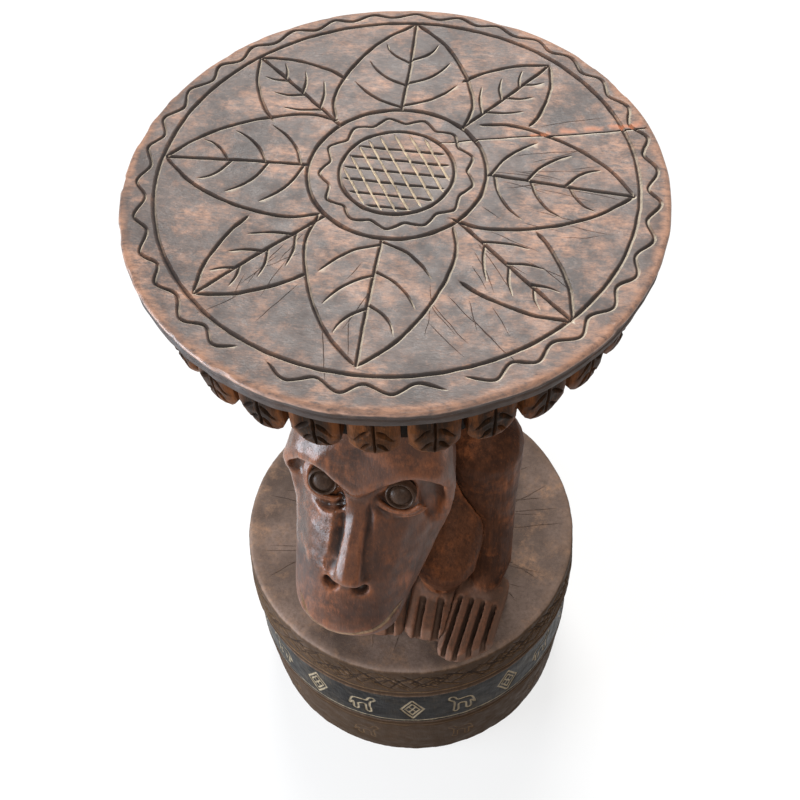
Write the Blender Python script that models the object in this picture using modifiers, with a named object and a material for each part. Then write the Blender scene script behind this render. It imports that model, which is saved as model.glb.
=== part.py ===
"""A carved wooden stool: a round seat with a leaf frieze, carried by a crouching monkey on a drum base.

Units are metres, +Z is up, the origin is the centre of the base on the floor, and the monkey faces -Y.
"""

import math

import bmesh
import bpy
from mathutils import Matrix, Vector

# Fit between touching pieces, flat and coped.
GAP = 0.0003
COPE_GAP = 0.0005

# Seat.
TOTAL_HEIGHT = 0.509
SEAT_RADIUS = 0.150
SEAT_THICKNESS = 0.013
RIM_UNDERCUT = 0.001
RIM_ROUNDING = 0.003
GROOVE_WIDTH = 0.0028
GROOVE_DEPTH = 0.0016
BORDER_RING_RADIUS = 0.1325
BORDER_RING_BACK = 0.0045
MEDALLION_RADIUS = 0.0495
HUB_RADIUS = 0.0315
MEDALLION_BACK = 0.012
TURNED_STEPS = 64

# Rosette cut into the seat: each leaf by its tip (distance, bearing from the front) and its root's bearing.
MAIN_LEAVES = (((0.124, -1), -1), ((0.131, 93), 94), ((0.137, -178), -176), ((0.131, -95), -90))
SIDE_LEAVES = (((0.132, 51), 49), ((0.132, 144), 140), ((0.135, -136), -132), ((0.127, -47), -43))
MAIN_LEAF_HALF = 0.040
SIDE_LEAF_HALF = 0.0265
MAIN_LEAF_FULLEST = 0.05
SIDE_LEAF_FULLEST = 0.35
MAIN_LEAF_FOOT = -0.12
SIDE_LEAF_FOOT = 0.38
LEAF_TAPER = 0.9
LEAF_SIDE_STEPS = 6
RIB_START = 0.05
RIB_END = 0.92

# Apron and its frieze of leaf drops.
APRON_DEPTH = 0.041
RIM_OVERHANG = 0.009
LEAF_COUNT = 28
LEAF_PHASE = math.radians(3.3)
LEAF_THICKNESS = 0.013
LEAF_SLOT = 0.0036
LEAF_LENGTH = 0.045
LEAF_SHOULDER = 0.031
LEAF_EDGE = 0.002
LEAF_BELLY = (0.74, 0.60)
LEAF_NOSE = (0.32, 0.92)

# Drum base, from the floor up: plinth, dark band, top layer.
BASE_HEIGHT = 0.152
PLINTH_HEIGHT = 0.064
BAND_HEIGHT = 0.049
BASE_FOOT_RADIUS = 0.117
BAND_RADIUS = 0.1215
BASE_WAIST_RADIUS = 0.1235
BASE_TOP_RADIUS = 0.122
BASE_ROUNDING = 0.003
RING_GROOVE_WIDTH = 0.003
RING_GROOVE_DEPTH = 0.002
RING_GROOVE_INSET = 0.004

# Monkey: places are in metres from the centre line of its body, with heights above the base.
BODY_SHIFT = 0.008
FORM_SIDES = 20
HOLLOW_SIDES = 12
FIGURE_VOXEL = 0.003
FIGURE_SMOOTHING = 3
TORSO_FACES = 800
HEAD_FACES = 2100
LIMB_FACES = 440

HAUNCH_RADIUS = 0.056
HAUNCH_BACK = 0.046
HAUNCH_HEIGHT = 0.050
BELLY_RADIUS = 0.050
BELLY_BACK = 0.024
BELLY_HEIGHT = 0.105
CHEST_RADIUS = 0.054
CHEST_BACK = 0.018
CHEST_HEIGHT = 0.180
NECK_RADIUS = 0.042
NECK_SHIFT = -0.006
NECK_FORWARD = 0.030
NECK_HEIGHT = 0.214
BLADE_SPREAD = 0.044
BLADE_RADIUS = 0.028
BLADE_FORWARD = 0.010
BLADE_HEIGHT = 0.215
CROWN_RADIUS = 0.056
CROWN_BACK = 0.008

SHOULDER_SPREAD = 0.047
SHOULDER_HEIGHT = 0.160
SHOULDER_RADIUS = 0.027
SHOULDER_FORWARD = 0.028
ELBOW_SHARE = 0.62
ELBOW_FORWARD = 0.034
WRIST_FORWARD = 0.042
WRIST_HEIGHT = 0.040
ARM_SPREAD = 0.055
ARM_RADIUS = 0.016
HAND_SPREAD = 0.053
HAND_WIDTH = 0.038
HAND_REACH = 0.114
HAND_TURN = math.radians(-10)
RIGHT_ARM_SETBACK = 0.022
HAND_HEIGHT = 0.017
FINGER_ROOT = 0.066
KNUCKLE_SET = 0.010
FINGER_INSET = 0.002
FINGER_COUNT = 5
FINGER_SLOT = 0.0032
HEEL_FORWARD = 0.048
DIGIT_WEB = 0.003
TIP_SHARE = 0.4

HIP_SPREAD = 0.034
HIP_HEIGHT = 0.130
HIP_RADIUS = 0.030
HIP_BACK = 0.004
KNEE_SPREAD = 0.026
KNEE_RADIUS = 0.023
KNEE_FORWARD = 0.062
KNEE_HEIGHT = 0.068
ANKLE_SPREAD = 0.0215
ANKLE_RADIUS = 0.014
ANKLE_FORWARD = 0.052
ANKLE_HEIGHT = 0.018
FOOT_SPREAD = 0.0185
FOOT_WIDTH = 0.034
FOOT_REACH = 0.098
FOOT_TURN = math.radians(-3)
FOOT_HEIGHT = 0.017
TOE_ROOT = 0.068
TOE_COUNT = 3
TOE_SLOT = 0.005

# Head: places are in metres from the point midway between the eyes.
HEAD_TURN = math.radians(-6)
HEAD_TILT = math.radians(5)
EYE_SHARE = 0.632
EYE_FORWARD = 0.093
HEAD_SHIFT = -0.0127
EYE_SPACING = 0.048
EYE_RADIUS = 0.0092
EYE_INSET = 0.005
EYE_RAISE = 0.003
RIGHT_EYE_DROP = 0.005
SKULL_WIDTH = 0.094
CHEEK_WIDTH = 0.092
MUZZLE_WIDTH = 0.074
MUZZLE_DROP = 0.108
MUZZLE_REACH = 0.043
MUZZLE_ROUND = 0.027
NOSE_REACH = 0.038
NOSE_DROP = 0.054
NECK_PLANE = 0.045
REGION_FRONT = 0.120
REGION_TOP = 0.100
REGION_CHIN = 0.034
REGION_THROAT = 0.008
REGION_NAPE = 0.080

# Balls that the head is stretched over: (back, up) from between the eyes, then the radius or radii.
SKULL_BALL = ((0.040, 0.012), (0.034, 0.050))
NAPE_BALL = ((0.062, 0.030), (0.036, 0.050))
FOREHEAD_BALL = ((0.036, 0.054), (0.036, 0.026))
CHEEK_BALL = ((0.018, -0.034), (0.028, 0.024))
SNOUT_BALL = ((-0.010, -0.066), (0.022, 0.024))
NOSE_ROOT_BALL = ((0.000, -0.004), 0.0045)
NOSE_TIP_RADIUS = 0.006
NAPE_SHARE = 0.85
SNOUT_SHARE = 0.90
FOREHEAD_SHARE = 0.90

# Lip of the hood from its middle point outwards, as (across, back, up). Both ends run on down the cheeks.
HOOD_LIP_RADIUS = 0.005
HOOD_POINT = (-0.002, -0.005, 0.007)
LEFT_HOOD = ((0.010, -0.004, 0.021), (0.025, -0.002, 0.036), (0.043, 0.004, 0.032), (0.051, 0.012, 0.008))
LEFT_RUFF = ((0.050, 0.018, -0.029), (0.047, 0.020, -0.050))
LEFT_JAW = (0.037, -0.003, -0.092)
RIGHT_HOOD = ((-0.015, -0.004, 0.019), (-0.026, -0.002, 0.028),
              (-0.042, 0.007, 0.017), (-0.048, 0.011, 0.002))
RIGHT_RUFF = ((-0.047, 0.013, -0.009), (-0.044, 0.014, -0.020), (-0.041, 0.013, -0.038))

# Hollows of the face: how far each is set from its neighbour, and its radii.
EYE_BOWL_FORWARD = 0.013
EYE_BOWL_DROP = 0.004
EYE_BOWL_RADII = (0.017, 0.014, 0.013)
NOSTRIL_SPREAD = 0.0095
NOSTRIL_BACK = 0.007
NOSTRIL_DROP = 0.013
NOSTRIL_RADII = (0.0055, 0.009, 0.0060)

# Hollows behind the lip of the hood, each stretched over balls placed as (across, back, up).
LEFT_HOLLOW = (((0.039, 0.005, 0.015), 0.010), ((0.043, 0.009, -0.008), 0.007),
               ((0.044, 0.013, -0.030), 0.004))
RIGHT_HOLLOW = (((-0.034, 0.003, 0.010), 0.007), ((-0.042, 0.008, 0.001), 0.006),
                ((-0.043, 0.007, -0.008), 0.0055))

# Dowels.
DOWEL_RADIUS = 0.006
DOWEL_LENGTH = 0.036
DOWEL_SIDES = 8
DOWEL_OFFSET = 0.045
SEAT_DOWEL_LENGTH = 0.030
SEAT_DOWEL_DROP = 0.008
TORSO_DOWEL_OFFSET = 0.027
TORSO_DOWEL_BACK = 0.010
FOOT_DOWEL_BACK = 0.055
NECK_DOWEL_RAISE = 0.020
SHOULDER_DOWEL_INSET = 0.014
SHOULDER_DOWEL_FORWARD = 0.024
SHOULDER_DOWEL_RAISE = 0.012
HIP_DOWEL_INSET = 0.016
HIP_DOWEL_BACK = 0.012
HIP_DOWEL_DROP = 0.015
HAND_DOWEL_LENGTH = 0.028

APRON_RADIUS = SEAT_RADIUS - RIM_OVERHANG - LEAF_THICKNESS
SEAT_UNDERSIDE = TOTAL_HEIGHT - SEAT_THICKNESS
APRON_TOP = SEAT_UNDERSIDE - GAP
APRON_UNDERSIDE = APRON_TOP - APRON_DEPTH
FIGURE_TOP = APRON_UNDERSIDE - GAP
FIGURE_FLOOR = BASE_HEIGHT + GAP

for old in list(bpy.data.objects):
    bpy.data.objects.remove(old, do_unlink=True)

STOOL = bpy.data.collections.new("carved_stool")
CUTTERS = bpy.data.collections.new("cutters")
bpy.context.scene.collection.children.link(STOOL)
bpy.context.scene.collection.children.link(CUTTERS)


def wood(name, colour, roughness):
    """A plain wood finish for one sub-part."""
    material = bpy.data.materials.new(name)
    material.use_nodes = True
    shader = material.node_tree.nodes["Principled BSDF"]
    shader.inputs["Base Color"].default_value = (*colour, 1)
    shader.inputs["Roughness"].default_value = roughness
    shader.inputs["Metallic"].default_value = 0
    return material


SEAT_WOOD = (0.085, 0.050, 0.036)
FRIEZE_WOOD = (0.110, 0.055, 0.032)
FIGURE_WOOD = (0.075, 0.032, 0.022)
BASE_WOOD = (0.100, 0.062, 0.042)
BAND_WOOD = (0.020, 0.023, 0.028)
EYE_WOOD = (0.030, 0.024, 0.022)
DOWEL_WOOD = (0.420, 0.290, 0.170)


def add_part(name, mesh, colour, roughness=0.45):
    """Put a mesh in the stool as a named piece with its own finish."""
    piece = bpy.data.objects.new(name, mesh)
    STOOL.objects.link(piece)
    mesh.materials.clear()
    mesh.materials.append(wood(name + "_wood", colour, roughness))
    mesh.shade_smooth()
    mesh.set_sharp_from_angle(angle=math.radians(35))
    return piece


def add_cutter(name, mesh):
    cutter = bpy.data.objects.new(name, mesh)
    CUTTERS.objects.link(cutter)
    cutter.hide_render = True
    cutter.display_type = "WIRE"
    return cutter


def cut(piece, cutter, operation="DIFFERENCE"):
    boolean = piece.modifiers.new(cutter.name, "BOOLEAN")
    boolean.operation = operation
    boolean.solver = "EXACT"
    boolean.object = cutter


def settled(obj):
    """The object's mesh with its modifiers worked out."""
    bpy.context.view_layer.update()
    graph = bpy.context.evaluated_depsgraph_get()
    return bpy.data.meshes.new_from_object(obj.evaluated_get(graph))


def mesh_from(bm, name):
    mesh = bpy.data.meshes.new(name)
    bmesh.ops.recalc_face_normals(bm, faces=bm.faces)
    bm.to_mesh(mesh)
    bm.free()
    return mesh


def turned(name, profile, colour, roughness=0.45):
    """A turned piece from (radius, height) points that run down its outer side, axis to axis."""
    mesh = bpy.data.meshes.new(name)
    points = [(radius, 0, height) for radius, height in profile]
    edges = [(i, i + 1) for i in range(len(points) - 1)]
    mesh.from_pydata(points, edges, [])
    blank = bpy.data.objects.new(name + "_profile", mesh)
    CUTTERS.objects.link(blank)
    screw = blank.modifiers.new("turning", "SCREW")
    screw.steps = TURNED_STEPS
    screw.render_steps = TURNED_STEPS
    screw.use_merge_vertices = True
    screw.merge_threshold = 0.00001
    bm = bmesh.new()
    bm.from_mesh(settled(blank))
    bmesh.ops.dissolve_limit(bm, angle_limit=math.radians(0.5), verts=bm.verts, edges=bm.edges)
    bpy.data.objects.remove(blank, do_unlink=True)
    return add_part(name, mesh_from(bm, name), colour, roughness)


def box(name, low, high, place=Matrix()):
    """A cutter block between two corners, moved by a placing matrix."""
    bm = bmesh.new()
    size = Vector(high) - Vector(low)
    middle = (Vector(high) + Vector(low)) / 2
    block = Matrix.Translation(middle) @ Matrix.Diagonal((*size, 1))
    bmesh.ops.create_cube(bm, size=1, matrix=place @ block)
    return add_cutter(name, mesh_from(bm, name))


def column(name, radius, low, high):
    """A round cutter on the stool's axis."""
    bm = bmesh.new()
    place = Matrix.Translation((0, 0, (low + high) / 2))
    bmesh.ops.create_cone(
        bm, cap_ends=True, segments=TURNED_STEPS, radius1=radius, radius2=radius,
        depth=high - low, matrix=place,
    )
    return add_cutter(name, mesh_from(bm, name))


def rounded(profile_corner, radius, start, end, steps=2):
    """Points of a quarter round inside a corner of a turned profile."""
    centre_r, centre_z = profile_corner
    for step in range(steps + 1):
        angle = math.radians(start + (end - start) * step / steps)
        yield centre_r + radius * math.cos(angle), centre_z + radius * math.sin(angle)


def seat_point(distance, bearing, back=0):
    """A place on the seat by its distance from a centre and its bearing in degrees from the front."""
    angle = math.radians(bearing)
    return Vector((distance * math.sin(angle), back - distance * math.cos(angle)))


def ring_path(radius, back):
    return [seat_point(radius, 360 * step / TURNED_STEPS, back) for step in range(TURNED_STEPS)]


def groove_cutter(name, path, closed=False):
    """A V-section bar that cuts a groove along a path on the seat top, mitred at its corners."""
    section = [(-GROOVE_WIDTH, GROOVE_DEPTH), (0, -GROOVE_DEPTH), (GROOVE_WIDTH, GROOVE_DEPTH)]
    ahead = path[1:] + (path[:1] if closed else path[-1:])
    behind = (path[-1:] if closed else path[:1]) + path[:-1]
    bm = bmesh.new()
    rows = []
    for before, point, after in zip(behind, path, ahead):
        arms = [arm.normalized() for arm in (point - before, after - point) if arm.length]
        run = sum(arms, Vector((0, 0))).normalized()
        mitre = Vector((-run.y, run.x)) / run.dot(arms[0])
        rows.append([bm.verts.new((*(point + mitre * across), TOTAL_HEIGHT + z)) for across, z in section])
    for row, after in zip(rows, rows[1:] + (rows[:1] if closed else [])):
        for i in range(len(section)):
            j = (i + 1) % len(section)
            bm.faces.new((row[i], row[j], after[j], after[i]))
    if not closed:
        bm.faces.new(rows[0])
        bm.faces.new(rows[-1])
    return add_cutter(name, mesh_from(bm, name))


def rosette_leaf(seat, name, tip, root, half, fullest, foot):
    """Cuts the outline and the midrib of one rosette leaf, from the medallion out to its tip."""
    start = seat_point(MEDALLION_RADIUS, root, MEDALLION_BACK)
    along = seat_point(*tip) - start
    side = Vector((along.y, -along.x)).normalized()
    swell = math.pi / 2 / (1 - fullest) ** LEAF_TAPER
    outline = [(1, 0)]
    for step in range(1, LEAF_SIDE_STEPS + 1):
        share = 1 - (1 - foot) * step / LEAF_SIDE_STEPS
        across = half * math.sin(swell * (1 - share) ** LEAF_TAPER)
        outline = [(share, -across)] + outline + [(share, across)]
    cut(seat, groove_cutter(name + "_outline", [start + along * t + side * s for t, s in outline]))
    cut(seat, groove_cutter(name + "_midrib", [start + along * t for t in (RIB_START, RIB_END)]))


def wall_groove(radius, height):
    """A V-cut into a turned wall, listed downwards."""
    half = RING_GROOVE_WIDTH / 2
    return [(radius, height + half), (radius - RING_GROOVE_DEPTH, height), (radius, height - half)]


# Forms of the figure: balls, hulls over balls, and chains of hulls.


def add_ball(bm, centre, radii, segments):
    if not isinstance(radii, tuple):
        radii = (radii, radii, radii)
    place = Matrix.Translation(centre) @ Matrix.Diagonal((*radii, 1))
    rows = segments // 2 + 2
    bmesh.ops.create_uvsphere(bm, u_segments=segments, v_segments=rows, radius=1, matrix=place)


def hull(*balls, segments=FORM_SIDES):
    """The solid stretched over a few balls, each given as (centre, radius or radii)."""
    bm = bmesh.new()
    for centre, radii in balls:
        add_ball(bm, centre, radii, segments)
    bmesh.ops.delete(bm, geom=bm.edges[:], context="EDGES_FACES")
    made = bmesh.ops.convex_hull(bm, input=bm.verts)
    inner = {item for item in made["geom_interior"] if isinstance(item, bmesh.types.BMVert)}
    bmesh.ops.delete(bm, geom=list(inner), context="VERTS")
    return mesh_from(bm, "hull")


def chain(*balls):
    """Hulls from each ball to the next."""
    return [hull(first, second) for first, second in zip(balls, balls[1:])]


def carved(name, forms, faces, place=Matrix()):
    """One smooth closed form from overlapping solids, brought down to a number of faces."""
    bm = bmesh.new()
    for form in forms:
        bm.from_mesh(form)
        bpy.data.meshes.remove(form)
    bmesh.ops.transform(bm, matrix=place, verts=bm.verts)
    blank = bpy.data.objects.new(name + "_blank", mesh_from(bm, name + "_blank"))
    CUTTERS.objects.link(blank)
    remesh = blank.modifiers.new("fuse", "REMESH")
    remesh.mode = "VOXEL"
    remesh.voxel_size = FIGURE_VOXEL
    smooth = blank.modifiers.new("soften", "SMOOTH")
    smooth.factor = 0.5
    smooth.iterations = FIGURE_SMOOTHING
    fused = settled(blank)
    decimate = blank.modifiers.new("lighten", "DECIMATE")
    decimate.ratio = min(1, faces / (2 * len(fused.polygons)))
    form = settled(blank)
    bpy.data.objects.remove(blank, do_unlink=True)
    return form


def swollen(mesh, name):
    """The same form grown by the fitting gap, as a cutter for its neighbours."""
    blank = bpy.data.objects.new(name, mesh.copy())
    CUTTERS.objects.link(blank)
    displace = blank.modifiers.new("clearance", "DISPLACE")
    displace.mid_level = 0
    displace.strength = COPE_GAP
    grown = settled(blank)
    bpy.data.objects.remove(blank, do_unlink=True)
    return add_cutter(name, grown)


def seat_top():
    """The seat slab: ring lines and a leaf rosette in the top, a worn round edge and an undercut rim."""
    profile = [(0, TOTAL_HEIGHT)]
    corner = (SEAT_RADIUS - RIM_ROUNDING, TOTAL_HEIGHT - RIM_ROUNDING)
    profile += rounded(corner, RIM_ROUNDING, 90, 0)
    profile.append((SEAT_RADIUS - RIM_UNDERCUT, SEAT_UNDERSIDE))
    profile.append((0, SEAT_UNDERSIDE))
    seat = turned("seat_top", profile, SEAT_WOOD)
    rings = (
        ("hub_ring", HUB_RADIUS, MEDALLION_BACK),
        ("medallion_ring", MEDALLION_RADIUS, MEDALLION_BACK),
        ("border_ring", BORDER_RING_RADIUS, BORDER_RING_BACK),
    )
    for name, radius, back in rings:
        cut(seat, groove_cutter(name, ring_path(radius, back), closed=True))
    for number, (tip, root) in enumerate(MAIN_LEAVES):
        shape = (MAIN_LEAF_HALF, MAIN_LEAF_FULLEST, MAIN_LEAF_FOOT)
        rosette_leaf(seat, f"main_leaf_{number + 1}", tip, root, *shape)
    for number, (tip, root) in enumerate(SIDE_LEAVES):
        shape = (SIDE_LEAF_HALF, SIDE_LEAF_FULLEST, SIDE_LEAF_FOOT)
        rosette_leaf(seat, f"side_leaf_{number + 1}", tip, root, *shape)
    return seat


def apron_block():
    profile = [
        (0, APRON_TOP),
        (APRON_RADIUS, APRON_TOP),
        (APRON_RADIUS, APRON_UNDERSIDE),
        (0, APRON_UNDERSIDE),
    ]
    return turned("apron_block", profile, FRIEZE_WOOD, 0.6)


def leaf_outline():
    """Half width and drop of a leaf block: straight shoulders, then sides that draw in to a blunt point."""
    pitch = 2 * math.pi * (APRON_RADIUS + GAP) / LEAF_COUNT
    half = (pitch - LEAF_SLOT) / 2
    right = [(half, 0), (half, -LEAF_SHOULDER)]
    draw = LEAF_LENGTH - LEAF_SHOULDER
    for width_share, drop_share in (LEAF_BELLY, LEAF_NOSE):
        right.append((half * width_share, -LEAF_SHOULDER - draw * drop_share))
    return right + [(0, -LEAF_LENGTH)] + [(-x, z) for x, z in reversed(right)]


def leaf_drop(number):
    """One leaf block of the frieze, a wedge with a chamfered face, set against the apron under the rim."""
    name = f"leaf_drop_{number + 1:02d}"
    bm = bmesh.new()
    face = bm.faces.new([bm.verts.new((x, 0, z)) for x, z in leaf_outline()])
    grown = bmesh.ops.extrude_face_region(bm, geom=[face])["geom"]
    front = [item for item in grown if isinstance(item, bmesh.types.BMVert)]
    reach = APRON_RADIUS + GAP
    bmesh.ops.scale(bm, vec=(1 + LEAF_THICKNESS / reach, 1, 1), verts=front)
    bmesh.ops.translate(bm, vec=(0, -LEAF_THICKNESS, 0), verts=front)
    edges = [edge for edge in bm.edges if all(vert in front for vert in edge.verts)]
    bmesh.ops.bevel(bm, geom=edges, offset=LEAF_EDGE, segments=1, affect="EDGES")
    leaf = add_part(name, mesh_from(bm, name), FRIEZE_WOOD, 0.5)
    angle = 2 * math.pi * number / LEAF_COUNT + LEAF_PHASE
    leaf.location = (reach * math.sin(angle), -reach * math.cos(angle), APRON_TOP)
    leaf.rotation_euler = (0, 0, angle)
    return leaf


def base_plinth():
    top = PLINTH_HEIGHT
    profile = [(0, top), (BAND_RADIUS, top)]
    profile += wall_groove(BAND_RADIUS, top - RING_GROOVE_INSET)
    profile += [(BASE_FOOT_RADIUS, 0), (0, 0)]
    return turned("base_plinth", profile, BASE_WOOD, 0.6)


def base_band():
    low = PLINTH_HEIGHT + GAP
    high = PLINTH_HEIGHT + BAND_HEIGHT
    profile = [(0, high), (BAND_RADIUS, high), (BAND_RADIUS, low), (0, low)]
    return turned("base_band", profile, BAND_WOOD, 0.5)


def base_top():
    low = PLINTH_HEIGHT + BAND_HEIGHT + GAP
    corner = (BASE_TOP_RADIUS - BASE_ROUNDING, BASE_HEIGHT - BASE_ROUNDING)
    profile = [(0, BASE_HEIGHT)]
    profile += rounded(corner, BASE_ROUNDING, 90, 0)
    profile += wall_groove(BASE_WAIST_RADIUS, low + RING_GROOVE_INSET)
    profile += [(BASE_WAIST_RADIUS, low), (0, low)]
    return turned("base_top", profile, BASE_WOOD, 0.6)


def side_place(side):
    """Places a left-hand form on the left (side 1) or the right (side -1) of the body."""
    mirror = Matrix.Diagonal((side, 1, 1, 1))
    return Matrix.Translation((BODY_SHIFT, 0, BASE_HEIGHT)) @ mirror


def arm_place(side):
    """The right arm stands further back than the left."""
    setback = 0 if side > 0 else RIGHT_ARM_SETBACK
    return Matrix.Translation((0, setback, 0)) @ side_place(side)


def turned_in(spread, turn):
    """Turns a hand or foot about the heel, so that its tips point towards the middle."""
    heel = Matrix.Translation((spread, -HEEL_FORWARD, 0))
    return heel @ Matrix.Rotation(turn, 4, "Z") @ heel.inverted()


def slab(spread, width, reach, height, turn):
    """A flat hand or foot, highest at the heel, as a hull over four balls."""
    place = turned_in(spread, turn)
    heel = height / 2
    tip = height * TIP_SHARE
    balls = []
    for edge in (-1, 1):
        balls.append((place @ Vector((spread + edge * (width / 2 - heel), -HEEL_FORWARD, heel)), heel))
        balls.append((place @ Vector((spread + edge * (width / 2 - tip), tip - reach, tip)), tip))
    return hull(*balls)


def arm_form(side, name):
    """Shoulder cap, straight arm and a flat hand."""
    shoulder = ((SHOULDER_SPREAD, -SHOULDER_FORWARD, SHOULDER_HEIGHT), SHOULDER_RADIUS)
    elbow = ((ARM_SPREAD, -ELBOW_FORWARD, SHOULDER_HEIGHT * ELBOW_SHARE), ARM_RADIUS)
    wrist = ((ARM_SPREAD, -WRIST_FORWARD, WRIST_HEIGHT), ARM_RADIUS)
    knuckles = ((HAND_SPREAD, KNUCKLE_SET - FINGER_ROOT, HAND_HEIGHT / 2), HAND_HEIGHT / 2)
    forms = chain(shoulder, elbow, wrist, knuckles)
    forms.append(slab(HAND_SPREAD, HAND_WIDTH, HAND_REACH, HAND_HEIGHT, HAND_TURN))
    return carved(name, forms, LIMB_FACES, arm_place(side))


def leg_form(side, name):
    """Thigh laid forward to a round knee, a short shin and a flat foot."""
    hip = ((HIP_SPREAD, HIP_BACK, HIP_HEIGHT), HIP_RADIUS)
    knee = ((KNEE_SPREAD, -KNEE_FORWARD, KNEE_HEIGHT), KNEE_RADIUS)
    ankle = ((ANKLE_SPREAD, -ANKLE_FORWARD, ANKLE_HEIGHT), ANKLE_RADIUS)
    forms = chain(hip, knee, ankle)
    forms.append(slab(FOOT_SPREAD, FOOT_WIDTH, FOOT_REACH, FOOT_HEIGHT, FOOT_TURN))
    return carved(name, forms, LIMB_FACES, side_place(side))


def digit_slots(piece, place, spread, width, root, turn, count, slot):
    """Slots between fingers or toes, cut from the root out past the tips."""
    place = place @ turned_in(spread, turn)
    finger = (width - (count - 1) * slot) / count
    for number in range(1, count):
        middle = spread - width / 2 + number * (finger + slot) - slot / 2
        low = (middle - slot / 2, -root - width * 2, DIGIT_WEB)
        high = (middle + slot / 2, -root, DIGIT_WEB + width)
        cut(piece, box(f"{piece.name}_slot_{number}", low, high, place))


def head_place():
    turn = Matrix.Rotation(HEAD_TURN, 4, "Z") @ Matrix.Rotation(HEAD_TILT, 4, "Y")
    eye_height = BASE_HEIGHT + EYE_SHARE * (FIGURE_TOP - BASE_HEIGHT)
    return Matrix.Translation((HEAD_SHIFT, -EYE_FORWARD, eye_height)) @ turn


def body_forms():
    """Haunches, belly, chest, neck and the crown that meets the apron."""
    haunch = ((0, HAUNCH_BACK, HAUNCH_HEIGHT), HAUNCH_RADIUS)
    belly = ((0, BELLY_BACK, BELLY_HEIGHT), BELLY_RADIUS)
    chest = ((0, CHEST_BACK, CHEST_HEIGHT), CHEST_RADIUS)
    neck = ((NECK_SHIFT, -NECK_FORWARD, NECK_HEIGHT), NECK_RADIUS)
    crown = ((0, CROWN_BACK, FIGURE_TOP - BASE_HEIGHT - CROWN_RADIUS / 3), CROWN_RADIUS)
    blades = [((side * BLADE_SPREAD, -BLADE_FORWARD, BLADE_HEIGHT), BLADE_RADIUS) for side in (-1, 1)]
    return chain(haunch, belly, chest) + [hull(chest, neck), hull(chest, crown, *blades)]


def mid_ball(ball, half_width):
    """A ball on the face's middle line, as wide as it is told to be."""
    (back, up), (depth, height) = ball
    return (0, back, up), (half_width, depth, height)


def side_ball(ball, across):
    (back, up), radius = ball
    return (across, back, up), radius


def head_forms():
    """Skull, long muzzle, arched brow hood with its middle point, ruff and nose."""
    half_skull = SKULL_WIDTH / 2
    skull = mid_ball(SKULL_BALL, half_skull)
    nape = mid_ball(NAPE_BALL, half_skull * NAPE_SHARE)
    forehead = mid_ball(FOREHEAD_BALL, half_skull * FOREHEAD_SHARE)
    cheeks = mid_ball(CHEEK_BALL, CHEEK_WIDTH / 2)
    mouth_place = (MUZZLE_ROUND - MUZZLE_REACH, -MUZZLE_DROP)
    mouth = mid_ball((mouth_place, (MUZZLE_ROUND, MUZZLE_ROUND)), MUZZLE_WIDTH / 2)
    snout = mid_ball(SNOUT_BALL, MUZZLE_WIDTH / 2 * SNOUT_SHARE)
    nose_tip = ((NOSE_TIP_RADIUS - NOSE_REACH, -NOSE_DROP), NOSE_TIP_RADIUS)
    nose = [side_ball(ball, side * ball[1]) for ball in (NOSE_ROOT_BALL, nose_tip) for side in (-1, 1)]
    forms = [hull(skull, cheeks, snout, mouth), hull(skull, nape), hull(*nose)]
    left_hood = (HOOD_POINT,) + LEFT_HOOD
    right_hood = (HOOD_POINT,) + RIGHT_HOOD
    left_ruff = LEFT_HOOD[-1:] + LEFT_RUFF
    right_ruff = RIGHT_HOOD[-1:] + RIGHT_RUFF
    lips = ((left_hood, forehead), (right_hood, forehead), (right_ruff, nape), (left_ruff, nape))
    for points, backing in lips:
        lip = [(point, HOOD_LIP_RADIUS) for point in points]
        forms += [hull(first, second, backing) for first, second in zip(lip, lip[1:])]
    return forms + chain(lip[-1], (LEFT_JAW, HOOD_LIP_RADIUS))


def figure_forms():
    """Body and head as overlapping solids in the stool's frame."""
    placed = []
    for forms, place in ((body_forms(), side_place(1)), (head_forms(), head_place())):
        for form in forms:
            form.transform(place)
            placed.append(form)
    return placed


def head_region(name, back):
    """Everything in front of the neck joint and above the knees, as a wedge in the head's own frame."""
    chin = -MUZZLE_DROP - REGION_CHIN
    outline = [(-REGION_FRONT, chin), (REGION_THROAT, chin), (back, -REGION_NAPE)]
    outline += [(back, REGION_TOP), (-REGION_FRONT, REGION_TOP)]
    bm = bmesh.new()
    reach = SKULL_WIDTH
    face = bm.faces.new([bm.verts.new((-reach, y, z)) for y, z in outline])
    grown = bmesh.ops.extrude_face_region(bm, geom=[face])["geom"]
    far = [item for item in grown if isinstance(item, bmesh.types.BMVert)]
    bmesh.ops.translate(bm, vec=(2 * reach, 0, 0), verts=far)
    bmesh.ops.transform(bm, matrix=head_place(), verts=bm.verts)
    return add_cutter(name, mesh_from(bm, name))


def ball_cutter(name, centre, radii, place):
    bm = bmesh.new()
    add_ball(bm, centre, radii, HOLLOW_SIDES)
    bmesh.ops.transform(bm, matrix=place, verts=bm.verts)
    return add_cutter(name, mesh_from(bm, name))


def eye_centre(side):
    """The right eye sits a little lower, as the hand-carved face is not quite even."""
    drop = 0 if side > 0 else RIGHT_EYE_DROP
    return side * EYE_SPACING / 2, EYE_INSET, EYE_RAISE - drop


def eye(side, name):
    bm = bmesh.new()
    add_ball(bm, eye_centre(side), EYE_RADIUS, HOLLOW_SIDES)
    bmesh.ops.transform(bm, matrix=head_place(), verts=bm.verts)
    return add_part(name, mesh_from(bm, name), EYE_WOOD, 0.3)


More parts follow.
